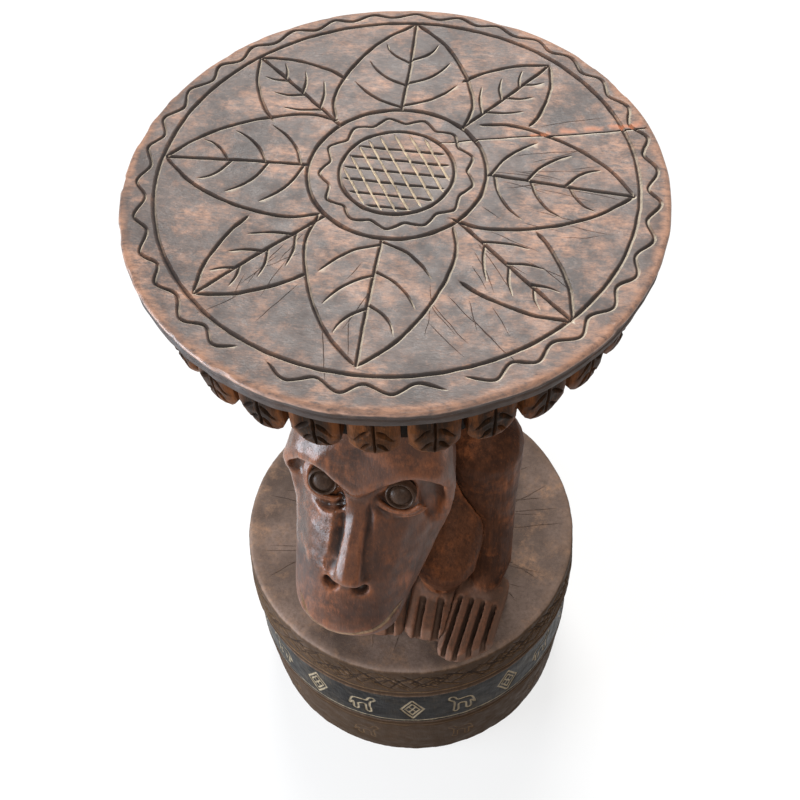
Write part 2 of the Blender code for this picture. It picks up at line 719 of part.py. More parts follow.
def dowel(name, middle, axis, pieces, length=DOWEL_LENGTH):
    """A round dowel with its hole in each piece that it joins."""
    turn = Vector((0, 0, 1)).rotation_difference(Vector(axis)).to_matrix().to_4x4()
    place = Matrix.Translation(middle) @ turn
    for title, grow in ((name, 0), (name + "_hole", GAP)):
        bm = bmesh.new()
        radius = DOWEL_RADIUS + grow
        bmesh.ops.create_cone(
            bm, cap_ends=True, segments=DOWEL_SIDES, radius1=radius, radius2=radius,
            depth=length + 2 * grow, matrix=place,
        )
        mesh = mesh_from(bm, title)
        if grow:
            hole = add_cutter(title, mesh)
        else:
            add_part(title, mesh, DOWEL_WOOD, 0.7)
    for piece in pieces:
        cut(piece, hole)


def face_hollows(head, side, word):
    """Cuts the eye bowl, the eye's socket, the nostril and the hollow under the hood on one side."""
    x, y, z = eye_centre(side)
    nostril = (side * NOSTRIL_SPREAD, NOSTRIL_BACK - NOSE_REACH, -NOSE_DROP - NOSTRIL_DROP)
    hollows = (
        ("_eye_bowl", (x, y - EYE_BOWL_FORWARD, z - EYE_BOWL_DROP), EYE_BOWL_RADII),
        ("_eye_socket", (x, y, z), EYE_RADIUS + GAP),
        ("_nostril", nostril, NOSTRIL_RADII),
    )
    for title, centre, radii in hollows:
        cut(head, ball_cutter(word + title, centre, radii, head_place()))
    under_hood = hull(*(LEFT_HOLLOW if side > 0 else RIGHT_HOLLOW), segments=HOLLOW_SIDES)
    under_hood.transform(head_place())
    cut(head, add_cutter(word + "_hood_hollow", under_hood))


def figure():
    """The monkey: a head and a torso parted at the neck, and arms and legs coped into the torso."""
    wide = 2 * SEAT_RADIUS
    floor = box("figure_floor", (-wide, -wide, -wide), (wide, wide, FIGURE_FLOOR))
    ceiling = box("figure_ceiling", (-wide, -wide, FIGURE_TOP), (wide, wide, TOTAL_HEIGHT))
    rim = column("base_rim", BASE_TOP_RADIUS - FINGER_INSET, 0, TOTAL_HEIGHT)
    form = carved("figure", figure_forms(), TORSO_FACES + HEAD_FACES)

    blank = add_cutter("head_blank", form.copy())
    cut(blank, head_region("head_front", NECK_PLANE), "INTERSECT")
    head_mesh = settled(blank)
    head_space = swollen(head_mesh, "head_space")
    head = add_part("head", head_mesh, FIGURE_WOOD, 0.25)
    torso = add_part("torso", form, FIGURE_WOOD, 0.35)
    cut(torso, head_region("head_clearance", NECK_PLANE + GAP))
    cut(torso, floor)
    cut(torso, ceiling)

    limbs = {}
    for side, word in ((1, "left"), (-1, "right")):
        arm_mesh = arm_form(side, word + "_arm")
        leg_mesh = leg_form(side, word + "_leg")
        arm_space = swollen(arm_mesh, word + "_arm_space")
        leg_space = swollen(leg_mesh, word + "_leg_space")
        arm = add_part(word + "_arm", arm_mesh, FIGURE_WOOD, 0.35)
        cut(arm, floor)
        cut(arm, rim, "INTERSECT")
        fingers = (HAND_SPREAD, HAND_WIDTH, FINGER_ROOT, HAND_TURN, FINGER_COUNT, FINGER_SLOT)
        digit_slots(arm, arm_place(side), *fingers)
        leg = add_part(word + "_leg", leg_mesh, FIGURE_WOOD, 0.35)
        middle = box(word + "_leg_limit", (-wide, -wide, -wide), (GAP / 2, wide, wide), side_place(side))
        for cutter in (arm_space, head_space, middle, floor):
            cut(leg, cutter)
        toes = (FOOT_SPREAD, FOOT_WIDTH, TOE_ROOT, FOOT_TURN, TOE_COUNT, TOE_SLOT)
        digit_slots(leg, side_place(side), *toes)
        cut(head, arm_space)
        cut(torso, arm_space)
        cut(torso, leg_space)
        face_hollows(head, side, word)
        eye(side, word + "_eye")
        limbs[word] = (side, arm, leg)
    return head, torso, limbs


def build():
    seat = seat_top()
    apron = apron_block()
    for number in range(LEAF_COUNT):
        leaf_drop(number)
    plinth = base_plinth()
    band = base_band()
    top = base_top()
    head, torso, limbs = figure()

    up = (0, 0, 1)
    across = (1, 0, 0)
    band_middle = PLINTH_HEIGHT + BAND_HEIGHT / 2
    for number, side in ((1, -1), (2, 1)):
        x = side * DOWEL_OFFSET
        seat_place = (x, 0, SEAT_UNDERSIDE - SEAT_DOWEL_DROP)
        dowel(f"seat_dowel_{number}", seat_place, up, (seat, apron), SEAT_DOWEL_LENGTH)
        torso_place = (BODY_SHIFT + side * TORSO_DOWEL_OFFSET, TORSO_DOWEL_BACK, APRON_UNDERSIDE)
        dowel(f"torso_top_dowel_{number}", torso_place, up, (apron, torso))
        layers = (plinth, band, top)
        dowel(f"base_dowel_{number}", (0, x, band_middle), up, layers, BAND_HEIGHT + DOWEL_LENGTH)
    dowel("torso_foot_dowel", (BODY_SHIFT, FOOT_DOWEL_BACK, BASE_HEIGHT), up, (torso, top))
    neck = head_place() @ Vector((0, NECK_PLANE, NECK_DOWEL_RAISE))
    dowel("neck_dowel", neck, head_place().to_3x3() @ Vector((0, 1, 0)), (head, torso))
    for word, (side, arm, leg) in limbs.items():
        shoulder = Vector((SHOULDER_SPREAD, 0, SHOULDER_HEIGHT))
        shoulder += Vector((-SHOULDER_DOWEL_INSET, -SHOULDER_DOWEL_FORWARD, SHOULDER_DOWEL_RAISE))
        hip = Vector((HIP_SPREAD - HIP_DOWEL_INSET, HIP_DOWEL_BACK, HIP_HEIGHT - HIP_DOWEL_DROP))
        hand = Vector((HAND_SPREAD, -HEEL_FORWARD, 0))
        dowel(word + "_shoulder_dowel", arm_place(side) @ shoulder, across, (arm, torso))
        dowel(word + "_hip_dowel", side_place(side) @ hip, across, (leg, torso))
        dowel(word + "_hand_dowel", arm_place(side) @ hand, up, (arm, top), HAND_DOWEL_LENGTH)


build()
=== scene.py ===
"""Looks of the carved wooden stool: incised seat, leaf frieze, polished monkey and banded drum base.

Places are in metres in the frame of the solids, with +Z up and the monkey facing -Y. The drawings that
are cut into the seat, the leaves, the face and the drum are in millimetres.
"""

import itertools
import math
from collections import namedtuple

import bmesh
import bpy
import numpy as np
from mathutils import Matrix, Vector
from mathutils.geometry import delaunay_2d_cdt


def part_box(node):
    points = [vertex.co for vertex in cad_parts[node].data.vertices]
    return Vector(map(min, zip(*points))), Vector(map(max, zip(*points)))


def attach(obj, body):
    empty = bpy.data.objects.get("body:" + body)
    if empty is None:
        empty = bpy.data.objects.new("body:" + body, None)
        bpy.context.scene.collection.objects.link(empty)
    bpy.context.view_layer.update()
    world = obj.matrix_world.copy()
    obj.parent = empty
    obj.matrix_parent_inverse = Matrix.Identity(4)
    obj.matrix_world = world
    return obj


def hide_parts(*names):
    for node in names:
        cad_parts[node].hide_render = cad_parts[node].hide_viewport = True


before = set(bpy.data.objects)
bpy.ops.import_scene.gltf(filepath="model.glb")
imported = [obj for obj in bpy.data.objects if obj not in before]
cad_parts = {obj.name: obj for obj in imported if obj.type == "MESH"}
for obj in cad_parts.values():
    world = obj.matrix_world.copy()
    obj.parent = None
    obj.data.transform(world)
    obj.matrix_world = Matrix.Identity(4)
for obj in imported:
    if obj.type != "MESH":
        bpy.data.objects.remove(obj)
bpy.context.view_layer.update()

MM = 0.001

# Camera at the photograph's place, looking down on the seat.
CAMERA_PLACE = (0.0937, -0.5315, 1.0610)
CAMERA_AIM = (-0.1044, 0.5746, -0.8120)
CAMERA_UP = (-0.0926, 0.8072, 0.5830)
CAMERA_LENS = 63

# Seat drawing, from the seat's centre with x to the monkey's left and y to its back.
SEAT_FILL = 3.2
SEAT_WEAR = 0.35
RIM_STEPS = 420
RIM_ROUND = 2.4
RIM_LEDGE = 7.4
BORDER_CENTRE = (0.4, 4.5)
BORDER_RING = 132.5
WAVE_RING = 140.6
WAVE_SWING = 3.0
WAVE_COUNT = 35
WAVE_LIMIT = 145.6
MEDALLION_CENTRE = (-0.2, 12.3)
MEDALLION_RING = 49.4
SCALLOP_RING = 40.5
SCALLOP_SWING = 2.2
SCALLOP_COUNT = 13
HUB_RING = 31.7
GROOVE_WIDTH = 2.7
GROOVE_DEPTH = 1.8
VEIN_WIDTH = 2.1
VEIN_DEPTH = 1.3
# How far to each side of a cut its painted lit wall and painted shaded wall lie.
CUT_SHIFT = (0.30, -0.37)
VERGE = 0.35

# Leaves of the rosette: tip as (distance, bearing from the front), then the bearing of the root.
MAIN_LEAVES = (((123.8, -0.9), -1.0), ((131.0, 93.3), 94.0), ((137.0, -177.8), -175.5), ((131.7, -94.6), -90.5))
SIDE_LEAVES = (((132.0, 51.2), 49.0), ((132.5, 144.5), 140.0), ((134.8, -136.3), -132.0), ((127.0, -47.4), -43.0))

# Head: its turn and tilt, and where its left eye lies from the point that the face is drawn from.
HEAD_TURN = math.radians(-6)
HEAD_TILT = math.radians(5)
LEFT_EYE_PLACE = (24, 5, 3)
EYE_TILT = math.radians(24)
NOSE_FACET = 0.42
FOOT_TOP = 177

# Drum drawing, with x along the wall from the front and y up from the floor.
DRUM_RADIUS = 121.5
MOTIF_COUNT = 10
DIAMOND_BEARING = 7.5
BEAST_BEARING = 25.4
BAND_MIDDLE = 86


def bearing_point(radius, bearing, centre=(0, 0)):
    """A point of a drawing by its distance and its bearing in degrees from the front, towards +X."""
    turn = math.radians(bearing)
    return np.array((centre[0] + radius * math.sin(turn), centre[1] - radius * math.cos(turn)))


# Repeatable noise.


def lattice(cells, seed):
    """A repeatable random value from -1 to 1 for each whole-number cell."""
    x, y, z = cells.astype(np.int64).T
    mixed = (x * 374761393 + y * 668265263 + z * 1440662683 + seed * 144269504) & 0x7FFFFFFF
    mixed = ((mixed ^ (mixed >> 13)) * 1274126177) & 0x7FFFFFFF
    mixed = mixed ^ (mixed >> 16)
    return mixed / 0x3FFFFFFF - 1


def lumps(points, size, seed=0):
    """Smooth noise from -1 to 1 at 2-D or 3-D points, with lumps of the given size."""
    points = np.asarray(points, float)
    if points.shape[1] == 2:
        points = np.column_stack((points, np.zeros(len(points))))
    scaled = points / size
    low = np.floor(scaled)
    part = scaled - low
    part = part * part * (3 - 2 * part)
    total = np.zeros(len(points))
    for corner in itertools.product((0, 1), repeat=3):
        weight = np.prod(np.where(corner, part, 1 - part), axis=1)
        total += weight * lattice(low + corner, seed)
    return total


# Grooves drawn on a flat or unrolled surface.

Groove = namedtuple("Groove", "path half depth")


def smooth_path(points, step, closed=False):
    """Points at an even step along a smooth curve through a few placed points."""
    points = np.asarray(points, float)
    if closed:
        padded = np.vstack((points[-1:], points, points[:2]))
    else:
        padded = np.vstack((2 * points[0] - points[1], points, 2 * points[-1] - points[-2]))
    spans = []
    for a, b, c, d in zip(padded, padded[1:], padded[2:], padded[3:]):
        count = max(1, round(np.linalg.norm(c - b) / step))
        t = np.linspace(0, 1, count, endpoint=False)[:, None]
        bend = (2 * a - 5 * b + 4 * c - d) * t**2 + (3 * b - a - 3 * c + d) * t**3
        spans.append((2 * b + (c - a) * t + bend) / 2)
    if not closed:
        spans.append(points[-1:])
    return np.vstack(spans)


def groove(points, width, depth, fade=(0, 0), closed=False, step=1.3, wobble=0.22, seed=0):
    """A hand-cut groove along a curve, uneven in width and depth, that runs out over the fade lengths."""
    path = smooth_path(points, step, closed)
    shake = np.column_stack((lumps(path, 7, seed + 1), lumps(path, 7, seed + 2)))
    path = path + wobble * shake
    if closed:
        path = np.vstack((path, path[:1]))
    along = np.concatenate(([0], np.cumsum(np.linalg.norm(np.diff(path, axis=0), axis=1))))
    run = np.ones(len(path))
    for distance, length in ((along, fade[0]), (along[-1] - along, fade[1])):
        if length:
            run = np.minimum(run, np.clip(distance / length, 0, 1))
    uneven = 1 + 0.16 * lumps(path, 5, seed + 3)
    return Groove(path, width / 2 * (0.3 + 0.7 * run) * uneven, depth * run**0.7 * uneven)


def ring(radius, centre, width, depth, swing=0.0, waves=1, seed=0):
    """A closed round groove, plain or waved."""
    count = waves * 4 if swing else 48
    points = []
    for number in range(count):
        turn = 360 * number / count
        stir = lumps(np.array([[number, seed, 0.5]]), 1.7, seed)[0]
        away = radius + swing * (math.cos(math.radians(turn * waves)) + 0.35 * stir)
        points.append(bearing_point(away, turn + (3 * stir / waves if swing else 0), centre))
    return groove(points, width, depth, closed=True, seed=seed)


def cut_depths(points, grooves):
    """How deep the grooves cut at each point of a drawing, and how far into its groove each point lies."""
    depth = np.zeros(len(points))
    share = np.zeros(len(points))
    piece = 40
    for line in grooves:
        for start in range(0, len(line.path) - 1, piece):
            rows = slice(start, start + piece + 1)
            path, half, deep = line.path[rows], line.half[rows], line.depth[rows]
            reach = half.max()
            inside = (points > path.min(0) - reach) & (points < path.max(0) + reach)
            near = np.flatnonzero(inside.all(1))
            if len(near) == 0:
                continue
            span = path[1:] - path[:-1]
            from_start = points[near, None] - path[None, :-1]
            t = np.clip((from_start * span).sum(2) / np.maximum((span * span).sum(1), 1e-9), 0, 1)
            gap = np.linalg.norm(from_start - t[..., None] * span, axis=2)
            fall = np.clip(1 - gap / (half[:-1] + t * np.diff(half)), 0, 1)
            here = deep[:-1] + t * np.diff(deep)
            depth[near] = np.maximum(depth[near], (fall * here).max(1))
            share[near] = np.maximum(share[near], (fall * np.clip(here / 0.6, 0, 1)).max(1))
    return depth, share


def inside_outline(points, outline):
    """Which points lie inside a closed outline."""
    inside = np.zeros(len(points), bool)
    x, y = points.T
    for (ax, ay), (bx, by) in zip(outline, np.roll(outline, -1, axis=0)):
        if ay == by:
            continue
        crosses = (ay > y) != (by > y)
        inside ^= crosses & (x < (bx - ax) * (y - ay) / (by - ay) + ax)
    return inside


def cut_sheet(outline, grooves, fill, seed):
    """Flat triangles inside an outline, with points along the bottom, walls, edges and verges of every groove."""
    points = [np.asarray(outline, float)]
    edges = [(i, (i + 1) % len(outline)) for i in range(len(outline))]
    count = len(outline)
    middle = points[0].mean(0)
    for line in grooves:
        run = np.gradient(line.path, axis=0)
        run /= np.maximum(np.linalg.norm(run, axis=1, keepdims=True), 1e-9)
        side = np.column_stack((-run[:, 1], run[:, 0])) * line.half[:, None]
        verge = side * (1 + VERGE / line.half[:, None])
        for away in (side * 0, side / 2, -side / 2, side, -side, verge, -verge):
            points.append(line.path + away)
            edges += [(count + i, count + i + 1) for i in range(len(away) - 1)]
            count += len(away)
    low, high = points[0].min(0), points[0].max(0)
    spots = np.stack(np.meshgrid(*(np.arange(a, b, fill) for a, b in zip(low, high))), -1).reshape(-1, 2)
    spots += np.random.default_rng(seed).uniform(-0.3, 0.3, spots.shape) * fill
    wide = [Groove(line.path, line.half + fill * 0.4, line.depth) for line in grooves]
    free = (cut_depths(spots, wide)[1] == 0) & inside_outline(spots, middle + (points[0] - middle) * 0.985)
    points.append(spots[free])
    sheet = delaunay_2d_cdt([Vector(p) for p in np.vstack(points)], edges, [], 1, 1e-4)
    return np.array([tuple(p) for p in sheet[0]]), [tuple(face) for face in sheet[2]]


# Pieces of the model.


def mesh_points(mesh):
    flat = np.empty(len(mesh.vertices) * 3)
    mesh.vertices.foreach_get("co", flat)
    return flat.reshape(-1, 3)


def mesh_normals(mesh):
    flat = np.empty(len(mesh.vertices) * 3)
    mesh.vertex_normals.foreach_get("vector", flat)
    return flat.reshape(-1, 3)


def move_points(mesh, points):
    mesh.vertices.foreach_set("co", np.asarray(points, float).ravel())
    mesh.update()


def store(mesh, name, values):
    """Keeps one number for each point, for the material to read."""
    kept = mesh.attributes.get(name) or mesh.attributes.new(name, "FLOAT", "POINT")
    kept.data.foreach_set("value", np.asarray(values, np.float32))


def spreader(mesh):
    """The edges of a mesh, and a way to take the mean of a value over the neighbours of each point."""
    pairs = np.empty(len(mesh.edges) * 2, np.int32)
    mesh.edges.foreach_get("vertices", pairs)
    pairs = pairs.reshape(-1, 2)
    count = np.maximum(np.bincount(pairs.ravel(), minlength=len(mesh.vertices)), 1)

    def spread(values):
        total = np.zeros_like(values)
        np.add.at(total, pairs[:, 0], values[pairs[:, 1]])
        np.add.at(total, pairs[:, 1], values[pairs[:, 0]])
        return total / (count if values.ndim == 1 else count[:, None])

    return pairs, spread


def calm(mesh, share, times):
    """Smooths part of a mesh."""
    spread = spreader(mesh)[1]
    points = mesh_points(mesh)
    for _ in range(times):
        points = points + (spread(points) - points) * 0.5 * share[:, None]
    move_points(mesh, points)


def edge_wear_and_hollow_shade(mesh, reach, strength, level=0.5):
    """Stores how proud each point stands of its neighbours, from 0 in hollows to 1 on ridges: the finishes paint
    worn colour on the ridges and painted shade in the hollows from it.
    """
    points = mesh_points(mesh)
    pairs, spread = spreader(mesh)
    length = np.linalg.norm(points[pairs[:, 0]] - points[pairs[:, 1]], axis=1).mean()
    around = points
    for _ in range(reach):
        around = spread(around)
    proud = ((points - around) * mesh_normals(mesh)).sum(1) / length
    for _ in range(2):
        proud = (proud + spread(proud)) / 2
    store(mesh, "edge", np.clip(level + proud * strength, 0, 1))


def add_piece(name, mesh, slot, *nodes, crease=35, finish=None):
    """Puts a finished mesh on the stool in place of its solid."""
    piece = bpy.data.objects.new(name, mesh)
    bpy.context.scene.collection.objects.link(piece)
    mesh.materials.clear()
    mesh.materials.append(WOODS[finish or slot])
    mesh.shade_smooth()
    mesh.set_sharp_from_angle(angle=math.radians(crease))
    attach(piece, "root")
    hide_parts(*nodes)
    return piece


def mesh_from_bm(name, bm):
    bmesh.ops.recalc_face_normals(bm, faces=bm.faces)
    mesh = bpy.data.meshes.new(name)
    bm.to_mesh(mesh)
    bm.free()
    return mesh


def welded(name, parts):
    """One mesh from several lists of (points in millimetres, faces), joined where their points meet."""
    bm = bmesh.new()
    for points, faces in parts:
        verts = [bm.verts.new(p) for p in points * MM]
        for face in faces:
            bm.faces.new([verts[i] for i in face])
    bmesh.ops.remove_doubles(bm, verts=bm.verts, dist=1e-6)
    return mesh_from_bm(name, bm)


def tube(rows):
    """A closed wall from rings of points, each listed as one row, with its faces."""
    steps = len(rows[0])
    faces = []
    for row in range(len(rows) - 1):
        for step in range(steps):
            after = (step + 1) % steps
            low, high = row * steps, (row + 1) * steps
            faces.append((low + step, high + step, high + after, low + after))
    return np.vstack(rows), faces


def lidded(name, rows, lines, height, fill, seed):
    """A tube of rings with a cut sheet over its first ring and a plain face over its last."""
    outline = rows[0][:, :2]
    flat, faces = cut_sheet(outline, lines, fill, seed)
    sheet = np.column_stack((flat, height(flat) - cut_depths(flat, lines)[0]))
    for point in rows[0]:
        nearest = np.argmin(((flat - point[:2]) ** 2).sum(1))
        sheet[nearest] = point
    wall, wall_faces = tube(rows)
    floor = tuple(range(len(wall) - len(outline), len(wall)))
    return welded(name, [(sheet, faces), (wall, wall_faces + [floor])])


# Materials.


class Paint:
    """A short way to wire the nodes of one material."""

    def __init__(self, name):
        self.material = bpy.data.materials.new(name)
        self.material.use_nodes = True
        self.nodes = self.material.node_tree.nodes
        self.links = self.material.node_tree.links
        self.shader = self.nodes["Principled BSDF"]
        self.place = self.nodes.new("ShaderNodeTexCoord").outputs["Object"]

    def feed(self, socket, value):
        if isinstance(value, bpy.types.NodeSocket):
            self.links.new(value, socket)
        elif isinstance(value, tuple) and len(value) == 3 and len(socket.default_value) == 4:
            socket.default_value = (*value, 1)
        else:
            socket.default_value = value

    def add(self, kind, inputs, **settings):
        node = self.nodes.new(kind)
        for key, value in settings.items():
            setattr(node, key, value)
        for key, value in inputs.items():
            self.feed(node.inputs[key], value)
        return node

    def noise(self, size, stretch=(1, 1, 1), detail=4.0, rough=0.55, shift=0.0):
        """Noise with lumps of a size in millimetres, longer along an axis where stretch is above 1."""
        scale = tuple(1 / s for s in stretch)
        moved = self.add("ShaderNodeMapping", {"Vector": self.place, "Scale": scale, "Location": (shift, shift, 0)})
        inputs = {"Vector": moved.outputs[0], "Scale": 1 / (size * MM), "Detail": detail, "Roughness": rough}
        return self.add("ShaderNodeTexNoise", inputs).outputs[0]

    def range(self, value, low, high, to_low=0.0, to_high=1.0):
        inputs = {"Value": value, "From Min": low, "From Max": high, "To Min": to_low, "To Max": to_high}
        return self.add("ShaderNodeMapRange", inputs).outputs[0]

    def mix(self, share, first, second):
        node = self.add("ShaderNodeMix", {}, data_type="RGBA")
        for socket, value in ((0, share), (6, first), (7, second)):
            self.feed(node.inputs[socket], value)
        return node.outputs[2]

    def math(self, operation, first, second):
        return self.add("ShaderNodeMath", {0: first, 1: second}, operation=operation).outputs[0]

    def kept(self, name):
        return self.add("ShaderNodeAttribute", {}, attribute_name=name).outputs["Fac"]

    def bump(self, height, depth, strength=1.0):
        """Fine relief of a depth in millimetres."""
        inputs = {"Height": height, "Distance": depth * MM, "Strength": strength}
        if self.shader.inputs["Normal"].is_linked:
            inputs["Normal"] = self.shader.inputs["Normal"].links[0].from_socket
        self.feed(self.shader.inputs["Normal"], self.add("ShaderNodeBump", inputs).outputs[0])


def carved_wood(name, dark, body, worn, lip, gloss, shine, grain=(1, 1, 8), wear=(0.50, 0.66), edge=0.8, side=None):
    """Old stained wood: blotched body, long grain, rubbed patches and edges, painted shade in hollows, cuts painted
    dark with shade and dirt, and pale lines, some of them painted light on a cut's lit wall.
    """
    # The deep colour is the dark of painted shade in hollows, and of painted shade with dirt in cuts.
    deep = tuple(c * 0.3 for c in dark)
    paint = Paint(name)
    blotch = paint.noise(46, detail=5)
    colour = paint.mix(paint.range(blotch, 0.36, 0.62), dark, body)
    streak = paint.noise(2.6, stretch=grain, detail=3)
    colour = paint.mix(paint.range(streak, 0.38, 0.72, 0.0, 0.6), colour, dark)
    rub = paint.noise(26, detail=8, rough=0.7, shift=0.3)
    speck = paint.noise(3.0, stretch=grain, detail=6, rough=0.72, shift=0.7)
    rubbed = paint.math("MULTIPLY", paint.range(rub, *wear), paint.range(speck, 0.36, 0.62))
    colour = paint.mix(rubbed, colour, worn)
    grit = paint.noise(1.0, stretch=grain, detail=2, shift=0.5)
    colour = paint.mix(paint.range(grit, 0.54, 0.72, 0.0, 0.4), colour, dark)
    colour = paint.mix(paint.range(grit, 0.44, 0.26, 0.0, 0.25), colour, worn)
    if side:
        colour = paint.mix(paint.kept("side"), colour, side)
    rise = paint.range(paint.kept("edge"), 0.56, 0.85, 0.0, edge)
    colour = paint.mix(paint.math("MULTIPLY", rise, paint.range(speck, 0.3, 0.6)), colour, worn)
    # Painted shade: hollows, where the proudness is low, darkened towards the deep colour.
    colour = paint.mix(paint.range(paint.kept("edge"), 0.44, 0.22, 0.0, 0.85), colour, deep)
    # Pale lines: drawn pale lines, and painted light on the lit wall of some cuts.
    pale = paint.math("MULTIPLY", paint.range(paint.kept("lip"), 0.1, 0.5), paint.range(speck, 0.3, 0.55, 0.35, 1.0))
    colour = paint.mix(pale, colour, lip)
    # Cuts painted dark: painted shade on their shaded wall and bottom, together with dirt.
    cut_shade_and_dirt = paint.kept("cut_shade_and_dirt")
    colour = paint.mix(paint.range(cut_shade_and_dirt, 0.25, 0.85, 0.0, 0.92), colour, deep)
    paint.feed(paint.shader.inputs["Base Color"], colour)
    sheen = paint.range(paint.noise(9, detail=5), 0.3, 0.7, gloss - 0.08, gloss + 0.12)
    rough = paint.math("ADD", sheen, paint.range(cut_shade_and_dirt, 0, 0.3, 0, 0.3))
    paint.feed(paint.shader.inputs["Roughness"], rough)
    paint.shader.inputs["Specular IOR Level"].default_value = shine
    paint.bump(paint.noise(1.1, stretch=grain, detail=4), 0.3, 0.6)
    paint.bump(paint.noise(7, detail=3), 0.6, 0.35)
    return paint


def polished(paint):
    """Leaves a wood rougher where it hasn't been handled."""
    rough = paint.shader.inputs["Roughness"]
    unhandled = paint.range(paint.kept("polish"), 0, 1, 0.25, 0)
    paint.feed(rough, paint.math("ADD", rough.links[0].from_socket, unhandled))


def overlay(paint, name, colour):
    """Lays a colour over a wood where a kept number says so."""
    socket = paint.shader.inputs["Base Color"]
    under = socket.links[0].from_socket
    paint.feed(socket, paint.mix(paint.kept(name), under, colour))


def woods():
    """One finish for each slot of the stool, and a shinier one for the figure's head."""
    seat_wood = carved_wood(
        "seat_wood", (0.075, 0.062, 0.060), (0.165, 0.130, 0.119), (0.48, 0.270, 0.185), (0.78, 0.68, 0.54),
        0.36, 0.22, grain=(2.5, 1, 1), edge=0.9, wear=(0.46, 0.62), side=(0.036, 0.019, 0.011),
    )
    overlay(seat_wood, "bare", (0.50, 0.21, 0.12))
    polished(seat_wood)
    frieze_wood = carved_wood(
        "frieze_wood", (0.013, 0.007, 0.004), (0.032, 0.014, 0.006), (0.16, 0.055, 0.018), (0.13, 0.07, 0.03),
        0.42, 0.025,
    )
    figure = (0.026, 0.012, 0.008), (0.105, 0.042, 0.022), (0.27, 0.090, 0.036), (0.36, 0.24, 0.14)
    figure_wood = carved_wood("figure_wood", *figure, 0.46, 0.035, edge=0.6)
    # Painted light: a paler colour laid over the hands and feet.
    overlay(figure_wood, "dust", (0.20, 0.125, 0.092))
    head_wood = carved_wood("head_wood", *figure, 0.24, 0.22, edge=0.6)
    polished(head_wood)
    base_wood = carved_wood(
        "base_wood", (0.105, 0.076, 0.063), (0.245, 0.178, 0.148), (0.33, 0.200, 0.130), (0.20, 0.115, 0.055),
        0.58, 0.035, side=(0.038, 0.020, 0.009),
    )
    band_wood = carved_wood(
        "band_wood", (0.009, 0.008, 0.008), (0.018, 0.015, 0.013), (0.06, 0.045, 0.031), (0.38, 0.30, 0.20),
        0.38, 0.035,
    )
    eye_wood = carved_wood(
        "eye_wood", (0.018, 0.010, 0.007), (0.052, 0.030, 0.020), (0.11, 0.060, 0.038), (0.05, 0.03, 0.02),
        0.30, 0.07,
    )
    dowel_wood = carved_wood(
        "dowel_wood", (0.30, 0.20, 0.11), (0.42, 0.29, 0.17), (0.50, 0.36, 0.22), (0.50, 0.36, 0.22),
        0.60, 0.20,
    )
    paints = dict(
        seat=seat_wood, frieze=frieze_wood, figure=figure_wood, head=head_wood, base=base_wood,
        band=band_wood, eye=eye_wood, dowel=dowel_wood,
    )
    return {slot: paint.material for slot, paint in paints.items()}


# Seat.


def leaf_grooves(tip, root_bearing, outline, veins, seed):
    """Outline, midrib and paired veins of one leaf of the rosette.

    The drawing's points are (share of the way from root to tip, distance to the side).
    """
    root = bearing_point(MEDALLION_RING + 1, root_bearing, MEDALLION_CENTRE)
    along = bearing_point(*tip) - root
    side = np.array((along[1], -along[0])) / np.linalg.norm(along)

    def place(share, across):
        return root + along * share + side * across

    midrib = [place(0, 0), place(0.5, 0.6), place(0.985, 0)]
    lines = [groove(midrib, GROOVE_WIDTH * 0.95, GROOVE_DEPTH * 0.9, seed=seed)]
    for hand in (-1, 1):
        points = [place(share, hand * across) for share, across in outline]
        lines.append(groove(points, GROOVE_WIDTH, GROOVE_DEPTH, fade=(3, 3), seed=seed + 11 + hand))
        for number, vein in enumerate(veins):
            points = [place(share + 0.012 * hand, hand * across) for share, across in vein]
            tag = seed + 31 + 5 * number + hand
            lines.append(groove(points, VEIN_WIDTH, VEIN_DEPTH, fade=(0, 11), seed=tag))
    return lines


def rosette_grooves():
    """Four broad leaves and four narrow ones between them."""
    main_outline = ((0.985, 0.5), (0.79, 17), (0.55, 29), (0.28, 37), (0.05, 40), (-0.16, 36.5))
    main_veins = (
        ((0.03, 0.5), (0.09, 13), (0.18, 22.5), (0.29, 30)),
        ((0.28, 0.5), (0.34, 10.5), (0.43, 18.5), (0.54, 24)),
        ((0.54, 0.5), (0.60, 8), (0.67, 13), (0.75, 15.5)),
    )
    side_outline = ((0.99, 0.5), (0.82, 12.5), (0.66, 19.5), (0.50, 24.5), (0.36, 26.5))
    side_veins = (
        ((0.23, 0.3), (0.33, 9), (0.45, 16)),
        ((0.45, 0.3), (0.53, 7.5), (0.63, 12.5)),
        ((0.66, 0.3), (0.73, 5), (0.81, 8)),
    )
    lines = []
    for number, (tip, root) in enumerate(MAIN_LEAVES):
        lines += leaf_grooves(tip, root, main_outline, main_veins, 100 + 60 * number)
    for number, (tip, root) in enumerate(SIDE_LEAVES):
        lines += leaf_grooves(tip, root, side_outline, side_veins, 400 + 60 * number)
    return lines


def ring_grooves():
    scallop = (VEIN_WIDTH, VEIN_DEPTH, SCALLOP_SWING, SCALLOP_COUNT)
    return [
        ring(MEDALLION_RING, MEDALLION_CENTRE, GROOVE_WIDTH * 1.1, GROOVE_DEPTH * 1.1, seed=7),
        ring(HUB_RING, MEDALLION_CENTRE, GROOVE_WIDTH, GROOVE_DEPTH, seed=8),
        ring(SCALLOP_RING, MEDALLION_CENTRE, *scallop, seed=9),
        ring(BORDER_RING, BORDER_CENTRE, GROOVE_WIDTH * 1.1, GROOVE_DEPTH, seed=10),
    ]


